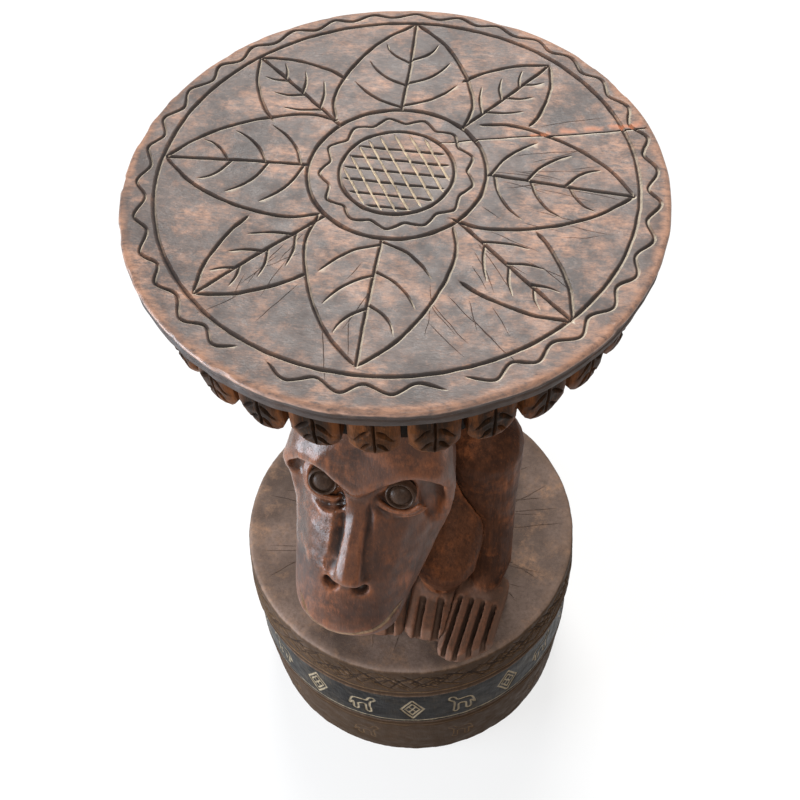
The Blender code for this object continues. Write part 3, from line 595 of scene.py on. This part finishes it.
def hatch_grooves():
    """The crossed lines inside the hub ring: the level ones and the slanting ones."""
    sorts = []
    level = (17, 8.8, 0, -8.8, -18, -27)
    slanting = (-25.5, -18.5, -11.5, -5, 2, 10, 17.5, 24)
    for angle, offsets, width in ((-2, level, VEIN_WIDTH), (-60, slanting, VEIN_WIDTH * 0.8)):
        run = np.array((math.cos(math.radians(angle)), math.sin(math.radians(angle))))
        across = np.array((-run[1], run[0]))
        lines = []
        for offset in offsets:
            half = math.sqrt((HUB_RING - 2) ** 2 - offset**2)
            middle = np.array(MEDALLION_CENTRE) + across * offset
            ends = [middle - run * half, middle, middle + run * half]
            lines.append(groove(ends, width, VEIN_DEPTH, fade=(3, 3), seed=int(900 + angle + offset)))
        sorts.append(lines)
    return sorts


def wave_grooves():
    """The waved line between the border ring and the rim, left open where the carver's cut stopped."""
    lines = []
    for start, stop in ((-20, 18), (22, 333)):
        points = []
        swings = int((stop - start) / 360 * WAVE_COUNT * 2)
        for number in range(swings + 1):
            bearing = start + (stop - start) * number / swings
            stir = lumps(np.array([[number, start, 0.5]]), 1.3, 21)[0]
            away = WAVE_RING + WAVE_SWING * (1 if number % 2 else -1) + 0.8 * stir
            point = bearing_point(away, bearing + 0.9 * stir, BORDER_CENTRE)
            points.append(point * min(1, WAVE_LIMIT / np.linalg.norm(point)))
        lines.append(groove(points, GROOVE_WIDTH * 0.9, GROOVE_DEPTH * 0.9, fade=(5, 5), seed=40))
    return lines


def check_grooves(count, bearings, starts, lengths, centre, seed, width=0.6, depth=0.55, limit=143):
    """Fine drying checks that run out from the middle of a turned face."""
    drawn = np.random.default_rng(seed)
    lines = []
    for number in range(count):
        bearing = drawn.uniform(*bearings)
        start = drawn.uniform(*starts)
        length = drawn.uniform(*lengths)
        turn = drawn.uniform(-7, 7)
        points = [bearing_point(start + length * t, bearing + turn * t, centre) for t in (0, 0.5, 1)]
        if np.linalg.norm(points[-1]) < limit:
            lines.append(groove(points, width, depth, fade=(5, 8), step=2.5, wobble=0.5, seed=seed + number))
    return lines


def split_groove():
    """The old split from the rim to the medallion."""
    points = [(133, 60.5), (110, 55), (87, 50), (70, 47.5), (57, 45), (37, 40.5), (26, 37.5), (14, 38)]
    return groove(points, 1.0, 1.6, fade=(0, 20), seed=50)


def split_scar(points):
    """The pale sliver that came away beside the split."""
    start, end = np.array((70, 48.5)), np.array((132, 62.5))
    along = end - start
    side = np.array((-along[1], along[0])) / np.linalg.norm(along)
    share = ((points[:, :2] - start) @ along) / (along @ along)
    across = (points[:, :2] - start - share[:, None] * along) @ side
    return (share > 0) & (share < 1) & (across > -0.8) & (across < 0.6 + 2.6 * share)


def seat():
    """The seat slab: incised top, worn and chipped rim with a ledge, plain underside."""
    low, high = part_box("seat_top")
    radius, top, under = high.x / MM, high.z / MM - SEAT_WEAR, low.z / MM
    circle = np.array([bearing_point(1, turn) for turn in np.linspace(0, 360, RIM_STEPS, endpoint=False)])
    uneven = 0.5 * lumps(circle, 0.35, 1) + 0.35 * lumps(circle, 0.09, 2) + 0.4
    chips = np.clip(lumps(circle, 0.05, 3) - 0.45, 0, 1) * 2.2

    def rim_row(out, drop):
        heights = np.zeros(RIM_STEPS) + top - drop
        return np.column_stack((circle * (out + uneven)[:, None], heights))

    rows = [rim_row(radius - RIM_ROUND + np.zeros(RIM_STEPS), 0)]
    for bend in (25, 50, 75, 90):
        turn = math.radians(bend)
        out = radius - RIM_ROUND * (1 - math.sin(turn)) - chips * (bend > 30)
        rows.append(rim_row(out, RIM_ROUND * (1 - math.cos(turn)) + chips * 0.4))
    for drop, inset in ((4.6, 0.2), (6.2, 0.3), (RIM_LEDGE, 1.1), (8.6, 0.5), (10.4, 0.6), (top - under, 1.0)):
        facets = 0.5 * lumps(np.column_stack((circle * radius, np.full(RIM_STEPS, drop))), 8, 6)
        rows.append(rim_row(radius - inset - 0.3 + facets, drop))

    rows_of_hatch, slants = hatch_grooves()
    broad = rosette_grooves() + ring_grooves() + wave_grooves() + rows_of_hatch + slants + [split_groove()]
    checks = check_grooves(44, (-45, 125), (50, 105), (14, 44), (0, 6), 5, width=0.5, depth=0.4)

    def height(flat):
        calm = np.clip((radius - RIM_ROUND - np.linalg.norm(flat, axis=1)) / 8, 0, 1)
        return top + (0.26 * lumps(flat, 30, 4) + 0.09 * lumps(flat, 9, 5)) * calm

    mesh = lidded("seat_carving", rows, broad + checks, height, SEAT_FILL, 3)
    points = mesh_points(mesh) / MM
    on_top = points[:, 2] > top - 3.2
    away = np.linalg.norm(points[:, :2], axis=1)
    flat = points[:, :2]
    # Painted light and shade in the cuts: the wall on one side is painted pale as its lit wall, and the other wall
    # and the bottom dark as painted shade with dirt. The slanting hatch lines are pale across their width and the
    # checks are dark.
    lit = cut_depths(flat - CUT_SHIFT, broad)[1]
    shaded = cut_depths(flat + CUT_SHIFT, broad)[1]
    cream = cut_depths(flat, slants)[1]
    dark = 0.8 * cut_depths(flat, broad)[1] - 1.0 * (lit - shaded) - cream
    dark = np.maximum(dark, 0.75 * cut_depths(flat, checks)[1])
    store(mesh, "cut_shade_and_dirt", np.clip(dark, 0, 1) * on_top)
    store(mesh, "lip", np.clip(1.5 * (lit - shaded) + cream, 0, 1) * on_top)
    rubbed = 0.06 * np.clip((away - radius + 20) / 10, 0, 1) + 0.24 * np.clip((away - radius + 5) / 4, 0, 1)
    rubbed *= 0.9 + 0.9 * lumps(flat, 14, 7)
    rubbed += 0.16 * (away > radius - 2.6)
    # Below the top the value is set low, which paints the rim's side and underside darker.
    store(mesh, "edge", np.where(points[:, 2] > top - 3.5, 0.5 + rubbed, 0.33))
    store(mesh, "bare", split_scar(points) * on_top)
    side = np.clip((top - 2.6 - points[:, 2]) / 1.2, 0, 1)
    store(mesh, "side", side * (0.85 - 0.5 * np.clip(lumps(points, 6, 8), 0, 1)))
    store(mesh, "polish", 1 - side)
    add_piece("seat_carving", mesh, "seat", "seat_top", crease=28)


# Frieze of leaf drops.


def drop_grooves(half, length, seed):
    """A middle vein and two pairs of chip cuts on the face of a leaf drop."""
    vein = [(0, -6), (0.3, -length * 0.55), (0, -length + 3)]
    lines = [groove(vein, 2.2, 1.5, fade=(4, 4), step=1.6, seed=seed)]
    for hand in (-1, 1):
        for number, (start, end, reach) in enumerate(((0.38, 0.60, 0.74), (0.64, 0.86, 0.56))):
            points = [
                (hand * 1.6, -length * start),
                (hand * half * reach * 0.55, -length * (start * 0.5 + end * 0.5) + 0.8),
                (hand * half * reach, -length * end),
            ]
            lines.append(groove(points, 4.2, 2.2, fade=(3, 7), step=1.6, seed=seed + 3 * number + hand))
    return lines


def drop_outline(half, length, shoulder):
    """Straight sides down to the shoulder, then two facets to a blunt point, and a flat top."""
    draw = length - shoulder
    right = [(half, 0), (half, -shoulder / 2), (half * 0.99, -shoulder)]
    right += [(half * 0.80, -shoulder - draw * 0.45), (half * 0.50, -shoulder - draw * 0.86)]
    points = right + [(0, -length)] + [(-x, z) for x, z in reversed(right)]
    side = np.vstack([np.linspace(a, b, 6, endpoint=False) for a, b in zip(points, points[1:])] + [points[-1:]])
    top = [(half * (2 * i / 12 - 1), 0) for i in range(1, 12)]
    return np.vstack((side, top))


def leaf_drop(number, node):
    """One carved leaf of the frieze, a pillowed wedge with chip cuts, in place of its solid."""
    points = mesh_points(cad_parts[node].data) / MM
    turn = Matrix.Rotation(math.atan2(points[:, 0].mean(), -points[:, 1].mean()), 4, "Z")
    local = points @ np.array(turn.to_3x3())
    top, length = local[:, 2].max(), np.ptp(local[:, 2])
    back, thick = local[:, 1].max(), np.ptp(local[:, 1])
    half = np.abs(local[:, 0]).max()
    narrow = np.abs(local[local[:, 1] > back - 1, 0]).max() / half
    drawn = np.random.default_rng(700 + number)
    long = length * drawn.uniform(0.95, 1.0)
    outline = drop_outline(half * drawn.uniform(0.97, 1.0), long, length * drawn.uniform(0.66, 0.74))
    outline = outline + 0.2 * np.column_stack((lumps(outline, 5, 60 + number), lumps(outline, 5, 90 + number)))
    outline[:, 1] = np.minimum(outline[:, 1], 0)
    lines = drop_grooves(half, long, 800 + 20 * number)
    flat, faces = cut_sheet(outline, lines, 2.4, number)
    gap = np.sqrt(((flat[:, None] - outline[None]) ** 2).sum(2).min(1))
    pillow = 3.0 * (1 - np.clip(gap / 6.5, 0, 1)) ** 2
    taper = 2.5 * np.clip((-flat[:, 1] / long - 0.5) * 2, 0, 1)
    bulge = pillow + taper + cut_depths(flat, lines)[0] + 0.35 * lumps(flat, 6, 30 + number)
    sheet = np.column_stack((flat[:, 0], np.clip(bulge - thick, -thick, -1), flat[:, 1]))
    rim = sheet[np.argmin(((outline[:, None] - flat[None]) ** 2).sum(2), axis=1)]
    foot = rim * (narrow, 0, 1)
    wall, wall_faces = tube([rim, foot])
    floor = tuple(range(len(rim), 2 * len(rim)))
    mesh = welded(node + "_carving", [(sheet, faces), (wall, wall_faces + [floor])])
    spots = mesh_points(mesh) / MM
    shown = spots[:, 1] < -thick * 0.4
    # Chip cuts painted dark with shade and dirt.
    store(mesh, "cut_shade_and_dirt", cut_depths(spots[:, (0, 2)], lines)[1] * shown * 0.6)
    # Hollows given painted shade and ridges worn colour.
    edge_wear_and_hollow_shade(mesh, 2, 0.9)
    mesh.transform(turn @ Matrix.Translation((0, back * MM, top * MM)))
    add_piece(node + "_carving", mesh, "frieze", node, crease=38)


# Figure.


def refined(name, solid, voxel, smoothing, rolls=()):
    """A fine rounded skin over a closed mesh and over rolls of wood laid on it."""
    bm = bmesh.new()
    for path, radius in rolls:
        for point in path:
            bmesh.ops.create_icosphere(bm, subdivisions=2, radius=radius, matrix=Matrix.Translation(point))
    bm.from_mesh(solid)
    bmesh.ops.remove_doubles(bm, verts=bm.verts, dist=1e-6)
    blank = bpy.data.objects.new(name + "_blank", mesh_from_bm(name + "_blank", bm))
    bpy.context.scene.collection.objects.link(blank)
    remesh = blank.modifiers.new("skin", "REMESH")
    remesh.mode = "VOXEL"
    remesh.voxel_size = voxel
    smooth = blank.modifiers.new("soften", "SMOOTH")
    smooth.factor = 0.5
    smooth.iterations = smoothing
    bpy.context.view_layer.update()
    graph = bpy.context.evaluated_depsgraph_get()
    mesh = bpy.data.meshes.new_from_object(blank.evaluated_get(graph))
    mesh.name = name + "_carving"
    bpy.data.objects.remove(blank, do_unlink=True)
    return mesh


def tool_marks(mesh, depth, seed):
    """Shallow facets left by a small adze and a knife."""
    points = mesh_points(mesh)
    facets = lumps(points, 0.011, seed) + 0.5 * lumps(points, 0.005, seed + 1)
    move_points(mesh, points + mesh_normals(mesh) * (facets * depth)[:, None])


def body_part(node, voxel, smoothing, seed):
    mesh = refined(node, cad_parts[node].data, voxel, smoothing)
    tool_marks(mesh, 0.00024, seed)
    foot = np.clip((FOOT_TOP - mesh_points(mesh)[:, 2] / MM) / 14, 0, node != "torso")
    # Painted shade in the hollows of the body and limbs. Hands and feet get a higher level, so less painted shade
    # and more worn colour, and a paler overlay as painted light.
    edge_wear_and_hollow_shade(mesh, 12, 0.4, 0.5 + 0.06 * foot)
    store(mesh, "dust", 0.55 * foot)
    add_piece(node + "_carving", mesh, "figure", node, crease=60)


def head_frame():
    """Places the face's drawing: x to the monkey's left, y into the head and z up, from between the eyes."""
    low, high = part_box("left_eye")
    turn = Matrix.Rotation(HEAD_TURN, 4, "Z") @ Matrix.Rotation(HEAD_TILT, 4, "Y")
    shift = Matrix.Translation((low + high) / 2)
    return shift @ turn @ Matrix.Translation(-Vector(LEFT_EYE_PLACE) * MM)


def face_grooves():
    """Lines cut into the face: beside the nose and along the mouth."""
    mouth = [(-31, -96), (-28, -102), (-22, -110), (-14, -114), (-5, -115)]
    mouth += [(7, -112), (17, -108), (25, -104), (31, -98), (36, -90)]
    return [
        groove([(-9, -13), (-10, -27), (-12, -46), (-14, -57)], 6.0, 2.2, fade=(6, 3), seed=11),
        groove([(7, -2), (9, -18), (10, -34), (12, -50), (14, -58)], 6.0, 2.4, fade=(5, 3), seed=12),
        groove(mouth, 3.0, 2.6, fade=(6, 6), seed=15),
    ]


def eye_frame(node):
    """Places an eye: y into the head along the way that it looks."""
    low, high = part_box(node)
    aim = head_frame().to_3x3().to_4x4() @ Matrix.Rotation(-EYE_TILT, 4, "X")
    return Matrix.Translation((low + high) / 2) @ aim


def eyelids():
    """Rolls of wood under and beside the eyes, drawn on the plane that each eye looks along."""
    left = ((-16.5, -7), (-9, -12), (0, -13.5), (7, -11.5), (11, -8), (12.5, -5.5))
    right = ((11.5, -11.5), (5, -12.5), (-2, -11.5), (-7.5, -7.5), (-10, 0), (-9.5, 7), (-7, 12))
    rolls = []
    for node, lid in (("left_eye", left), ("right_eye", right)):
        place = eye_frame(node)
        for spread, back, radius in ((1.0, -3.2, 2.0), (1.27, -1.6, 1.5)):
            path = smooth_path(np.array(lid) * spread, 0.8)
            rolls.append(([place @ (Vector((x, back, z)) * MM) for x, z in path], radius * MM))
    return rolls


def head():
    """The head with its drawn face: lids laid on, nose grooves and mouth cut into a fine skin of the solid."""
    skin = refined("head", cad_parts["head"].data, 0.0011, 14)
    mesh = refined("head", skin, 0.00094, 3, eyelids())
    tool_marks(mesh, 0.0003, 2)
    place = head_frame()
    turn = np.array(place.to_3x3())
    points = mesh_points(mesh)
    local = (points - np.array(place.translation)) @ turn / MM
    facing = np.clip(-(mesh_normals(mesh) @ turn)[:, 1] * 2.5, 0, 1) * (local[:, 1] < 16)
    deep, share = cut_depths(local[:, (0, 2)], face_grooves())
    x, _, z = local.T
    along = np.clip((-6 - z) / 10, 0, 1) * np.clip((z + 60) / 4, 0, 1)
    facet = NOSE_FACET * np.clip(-1 - x, 0, 9) * np.clip((x + 14) / 3, 0, 1) * along
    move_points(mesh, points - mesh_normals(mesh) * ((deep + facet) * facing * MM)[:, None])
    calm(mesh, np.clip((x - 30) / 8, 0, 1) * np.clip((-8 - z) / 10, 0, 1), 40)
    # Painted shade: the wide reach darkens the eye sockets, under the brow and the face's other hollows, and ridges
    # get worn colour.
    edge_wear_and_hollow_shade(mesh, 24, 0.30, 0.58)
    # Nose and mouth cuts painted dark with shade and dirt.
    store(mesh, "cut_shade_and_dirt", share * facing * 0.3)
    store(mesh, "lip", 0.4 * cut_depths(local[:, (0, 2)] + (0, 1.6), face_grooves()[-1:])[1] * facing)
    store(mesh, "polish", np.clip((10 - x) / 14, 0.25, 1) * np.clip((z + 74) / 16, 0.1, 1))
    add_piece("head_carving", mesh, "figure", "head", crease=60, finish="head")


def eye(node):
    """A domed disc in a raised ring, set into the socket and looking a little upwards."""
    profile = (
        (0.05, 2.4), (2.5, 2.2), (4.6, 1.6), (6.2, 0.6), (6.9, -0.7), (7.3, -0.6),
        (7.6, 0.9), (8.3, 1.4), (9.1, 1.0), (9.5, -0.4), (9.4, -5.0),
    )
    steps = 48
    rows = []
    for radius, rise in profile:
        turns = np.linspace(0, 2 * math.pi, steps, endpoint=False)
        rows.append(np.column_stack((radius * np.cos(turns), np.full(steps, -rise), radius * np.sin(turns))))
    wall, faces = tube(rows)
    caps = [tuple(range(steps)), tuple(range(len(wall) - steps, len(wall)))]
    mesh = welded(node + "_carving", [(wall, faces + caps)])
    mesh.transform(eye_frame(node) @ Matrix.Translation((0, -5.5 * MM, 0)))
    # Hollows of the ring given painted shade and its ridges worn colour.
    edge_wear_and_hollow_shade(mesh, 2, 0.4)
    add_piece(node + "_carving", mesh, "eye", node, crease=60)


# Drum base.


def wall_profile(node):
    """Heights and radii of a turned solid's wall, upwards."""
    points = mesh_points(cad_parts[node].data) / MM
    away = np.linalg.norm(points[:, :2], axis=1)
    wall = away > 100
    table = np.unique(np.round(np.column_stack((points[wall, 2], away[wall])), 2), axis=0)
    return table[:, 0], table[:, 1]


def drum_rows(node, lines, steps, gap, rough):
    """Rings of points down a drum layer's wall, with its drawing cut in."""
    heights, radii = wall_profile(node)
    levels = np.linspace(heights[-1], heights[0], int(np.ptp(heights) / gap) + 1)
    turns = np.linspace(-math.pi, math.pi, steps, endpoint=False)
    rows = []
    for level in levels:
        drawing = np.column_stack((turns * DRUM_RADIUS, np.full(steps, level)))
        away = np.interp(level, heights, radii) - cut_depths(drawing, lines)[0] - 0.25
        away += rough * lumps(drawing, 9, 31) + 0.4 * rough * lumps(drawing, 3, 32)
        away = np.minimum(away, np.interp(level, heights, radii))
        rows.append(np.column_stack((away * np.sin(turns), -away * np.cos(turns), np.full(steps, level))))
    return rows


def wall_drawing(points):
    """Places of points round the drum in its unrolled drawing."""
    turns = np.arctan2(points[:, 0], -points[:, 1])
    return np.column_stack((turns * DRUM_RADIUS, points[:, 2]))


def round_line(height, width, depth, seed):
    """A groove right round the drum."""
    ends = math.pi * DRUM_RADIUS
    points = [(x, height) for x in np.linspace(-ends, ends, 60)]
    return groove(points, width, depth, wobble=0.35, seed=seed)


def motif_middles(bearing):
    """Places along the wall of a motif that is repeated round the drum."""
    for number in range(MOTIF_COUNT):
        turn = math.radians(bearing + 360 / MOTIF_COUNT * number)
        yield math.atan2(math.sin(turn), math.cos(turn)) * DRUM_RADIUS


def diamond(middle, seed):
    """A double lozenge quartered by two crossed lines."""
    lines = []
    for half, rise, width in ((8.6, 15.5, 2.0), (5.4, 9.8, 1.7)):
        corners = [(half, 0), (0, rise), (-half, 0), (0, -rise)]
        for number, (a, b) in enumerate(zip(corners, corners[1:] + corners[:1])):
            ends = [(middle + a[0], BAND_MIDDLE + a[1]), (middle + b[0], BAND_MIDDLE + b[1])]
            lines.append(groove(ends, width, 0.9, seed=seed + number))
    for hand in (-1, 1):
        ends = [(middle - 2.8, BAND_MIDDLE - hand * 5.1), (middle + 2.8, BAND_MIDDLE + hand * 5.1)]
        lines.append(groove(ends, 1.7, 0.9, seed=seed + 9 + hand))
    return lines


def beast(middle, height, facing, width, depth, seed):
    """The outline of a small four-legged animal."""
    outline = (
        (-9, 4), (-3, 6), (4, 6), (7, 11), (11, 12), (12, 8), (8, 4), (7, -2), (8, -12), (4, -12),
        (3, -2), (-3, -3), (-4, -12), (-8, -12), (-8, -2), (-12, -7),
    )
    points = [(middle + facing * x * 0.85, height + z) for x, z in outline]
    return groove(points, width, depth, closed=True, step=1.0, seed=seed)


def band():
    """The dark band with its lozenges and animals between two lines."""
    lines = [round_line(66.5, 1.6, 0.8, 1), round_line(110.5, 1.6, 0.8, 2)]
    for number, middle in enumerate(motif_middles(DIAMOND_BEARING)):
        lines += diamond(middle, 20 * number)
    for number, middle in enumerate(motif_middles(BEAST_BEARING)):
        lines.append(beast(middle, BAND_MIDDLE + 1, 1 if number % 2 else -1, 2.0, 0.9, 300 + number))
    rows = drum_rows("base_band", lines, 1000, 0.8, 0.18)
    wall, faces = tube(rows)
    steps = len(rows[0])
    caps = [tuple(range(steps)), tuple(range(len(wall) - steps, len(wall)))]
    mesh = welded("base_band_carving", [(wall, faces + caps)])
    points = mesh_points(mesh) / MM
    store(mesh, "lip", cut_depths(wall_drawing(points), lines)[1])
    store(mesh, "edge", np.full(len(points), 0.5))
    add_piece("base_band_carving", mesh, "band", "base_band", crease=50)


def plinth():
    """The lowest layer, with a line under the band and faint marks below the animals."""
    lines = [round_line(56, 1.8, 1.0, 3)]
    for number, middle in enumerate(motif_middles(BEAST_BEARING)):
        lines.append(beast(middle, 31, 1 if number % 2 else -1, 1.8, 0.5, 500 + number))
    rows = drum_rows("base_plinth", lines, 720, 1.2, 0.3)
    wall, faces = tube(rows)
    steps = len(rows[0])
    caps = [tuple(range(steps)), tuple(range(len(wall) - steps, len(wall)))]
    mesh = welded("base_plinth_carving", [(wall, faces + caps)])
    points = mesh_points(mesh) / MM
    store(mesh, "lip", 0.6 * cut_depths(wall_drawing(points), lines)[1])
    # Hollows given painted shade and ridges worn colour.
    edge_wear_and_hollow_shade(mesh, 2, 0.5)
    store(mesh, "side", np.full(len(points), 0.9))
    add_piece("base_plinth_carving", mesh, "base", "base_plinth", crease=50)


def chisel_strokes(low, high, seed):
    """Crossed slanting chisel cuts round a strip of the wall."""
    drawn = np.random.default_rng(seed)
    ends = math.pi * DRUM_RADIUS
    lines = []
    for x in np.arange(-ends + 8, ends - 8, 5.2):
        for lean in (-1, 1):
            run = drawn.uniform(6, 11)
            z = drawn.uniform(low + 4, high - 4)
            rise = lean * drawn.uniform(4, 9)
            points = [(x - run, max(low, z - rise)), (x, z), (x + run, min(high, z + rise))]
            points = [(px, min(max(pz, low), high)) for px, pz in points]
            lines.append(groove(points, 2.4, 1.3, fade=(5, 5), step=2.0, seed=seed + len(lines)))
    return lines


def base_top():
    """The top layer: chiselled wall, worn edge and a cracked upper face."""
    strokes = chisel_strokes(124, 147, 9)
    lines = [round_line(121.5, 1.6, 0.9, 4)] + strokes
    rows = drum_rows("base_top", lines, 720, 1.0, 0.3)
    top = rows[0][0, 2]
    cracks = check_grooves(60, (-180, 180), (55, 90), (18, 50), (0, 0), 77, width=0.8, depth=0.5, limit=118)
    rim = np.linalg.norm(rows[0][:, :2], axis=1).min()

    def height(flat):
        calm = np.clip((rim - np.linalg.norm(flat, axis=1)) / 10, 0, 1)
        return top - calm * (0.25 + 0.25 * lumps(flat, 16, 41) + 0.1 * lumps(flat, 5, 42))

    mesh = lidded("base_top_carving", rows, cracks, height, 4.0, 8)
    points = mesh_points(mesh) / MM
    on_top = points[:, 2] > top - 1.5
    drawing = wall_drawing(points)
    share = cut_depths(drawing, lines)[1] * ~on_top
    # Painted highlight: a pale band on the lower wall of each chisel stroke, where light from above falls.
    store(mesh, "lip", 0.4 * cut_depths(drawing + (0, 0.9), lines)[1] * (1 - share) * ~on_top)
    store(mesh, "side", 0.85 * ~on_top)
    # Strokes and cracks painted dark with shade and dirt.
    store(mesh, "cut_shade_and_dirt", share + 0.5 * cut_depths(points[:, :2], cracks)[1] * on_top)
    # Hollows given painted shade and ridges worn colour.
    edge_wear_and_hollow_shade(mesh, 2, np.where(on_top, 0.5, 1.1))
    add_piece("base_top_carving", mesh, "base", "base_top", crease=50)


def plain_nodes():
    """Finishes the solids that stay as they are: the apron behind the leaves and the hidden dowels."""
    for node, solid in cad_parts.items():
        finish = "frieze" if node == "apron_block" else "dowel" if "_dowel" in node else None
        if finish:
            solid.data.materials.clear()
            solid.data.materials.append(WOODS[finish])


def build_stool():
    seat()
    leaves = sorted(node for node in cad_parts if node.startswith("leaf_drop_"))
    for number, node in enumerate(leaves):
        leaf_drop(number, node)
    head()
    body_part("torso", 0.0016, 8, 1)
    for side, word in enumerate(("left", "right")):
        eye(word + "_eye")
        body_part(word + "_arm", 0.0009, 5, 3 + side)
        body_part(word + "_leg", 0.0009, 5, 5 + side)
    base_top()
    band()
    plinth()
    plain_nodes()


# Studio.


def background_rays(nodes, links):
    """One for the rays that should see a white background, and nought for the rays that only carry light."""
    path = nodes.new("ShaderNodeLightPath")
    seen = path.outputs["Is Camera Ray"]
    for name in ("Is Glossy Ray", "Is Transmission Ray"):
        either = nodes.new("ShaderNodeMath")
        either.operation = "MAXIMUM"
        links.new(seen, either.inputs[0])
        links.new(path.outputs[name], either.inputs[1])
        seen = either.outputs[0]
    return seen


def floor_and_light():
    """A pale floor that keeps the shadow, a white surround, a soft key from behind and a window to the left."""
    mesh = bpy.data.meshes.new("floor")
    mesh.from_pydata([(-4, -4, 0), (4, -4, 0), (4, 4, 0), (-4, 4, 0)], [], [(0, 1, 2, 3)])
    floor = bpy.data.objects.new("floor", mesh)
    bpy.context.scene.collection.objects.link(floor)
    paint = Paint("floor_white")
    away = paint.add("ShaderNodeVectorMath", {0: paint.place}, operation="LENGTH").outputs["Value"]
    glow = paint.add("ShaderNodeEmission", {"Color": (1, 1, 1), "Strength": paint.range(away, 0.7, 2.5, 0.69, 0.95)})
    matt = paint.add("ShaderNodeBsdfDiffuse", {"Color": (0.32, 0.32, 0.32)})
    both = paint.add("ShaderNodeAddShader", {0: glow.outputs[0], 1: matt.outputs[0]})
    rays = background_rays(paint.nodes, paint.links)
    seen = paint.add("ShaderNodeMixShader", {0: rays, 1: matt.outputs[0], 2: both.outputs[0]})
    paint.links.new(seen.outputs[0], paint.nodes["Material Output"].inputs["Surface"])
    mesh.materials.append(paint.material)

    world = bpy.data.worlds.new("studio")
    bpy.context.scene.world = world
    world.use_nodes = True
    nodes, links = world.node_tree.nodes, world.node_tree.links
    strength = nodes.new("ShaderNodeMapRange")
    strength.inputs["To Min"].default_value = 0.17
    strength.inputs["To Max"].default_value = 1.0
    links.new(background_rays(nodes, links), strength.inputs["Value"])
    background = nodes["Background"]
    background.inputs["Color"].default_value = (1, 1, 1, 1)
    links.new(strength.outputs[0], background.inputs["Strength"])

    soft_lamp("key", (-0.2, 1.35, 2.15), (1.0, 1.0), 47, (1.0, 0.98, 0.95))
    soft_lamp("window", (-0.9, -0.45, 0.20), (0.66, 0.44), 18, (0.78, 0.88, 1.0))
    soft_lamp("front", (0.35, -1.5, 1.8), (0.6, 0.6), 22, (1.0, 0.97, 0.93))


def soft_lamp(name, place, size, power, colour):
    lamp = bpy.data.lights.new(name, "AREA")
    lamp.shape = "RECTANGLE"
    lamp.size, lamp.size_y = size
    lamp.energy = power
    lamp.color = colour
    holder = bpy.data.objects.new(name, lamp)
    bpy.context.scene.collection.objects.link(holder)
    holder.location = place
    aim = Vector((0, 0, 0.3)) - Vector(place)
    holder.rotation_euler = aim.to_track_quat("-Z", "Y").to_euler()


def camera():
    aim = Vector(CAMERA_AIM).normalized()
    right = aim.cross(Vector(CAMERA_UP)).normalized()
    up = right.cross(aim)
    view = bpy.data.cameras.new("camera")
    view.lens = CAMERA_LENS
    view.clip_start = 0.01
    holder = bpy.data.objects.new("camera", view)
    bpy.context.scene.collection.objects.link(holder)
    turn = Matrix((right, up, -aim)).transposed().to_4x4()
    holder.matrix_world = Matrix.Translation(CAMERA_PLACE) @ turn
    bpy.context.scene.camera = holder


WOODS = woods()
build_stool()
floor_and_light()
camera()
bpy.context.scene.view_settings.view_transform = "Standard"
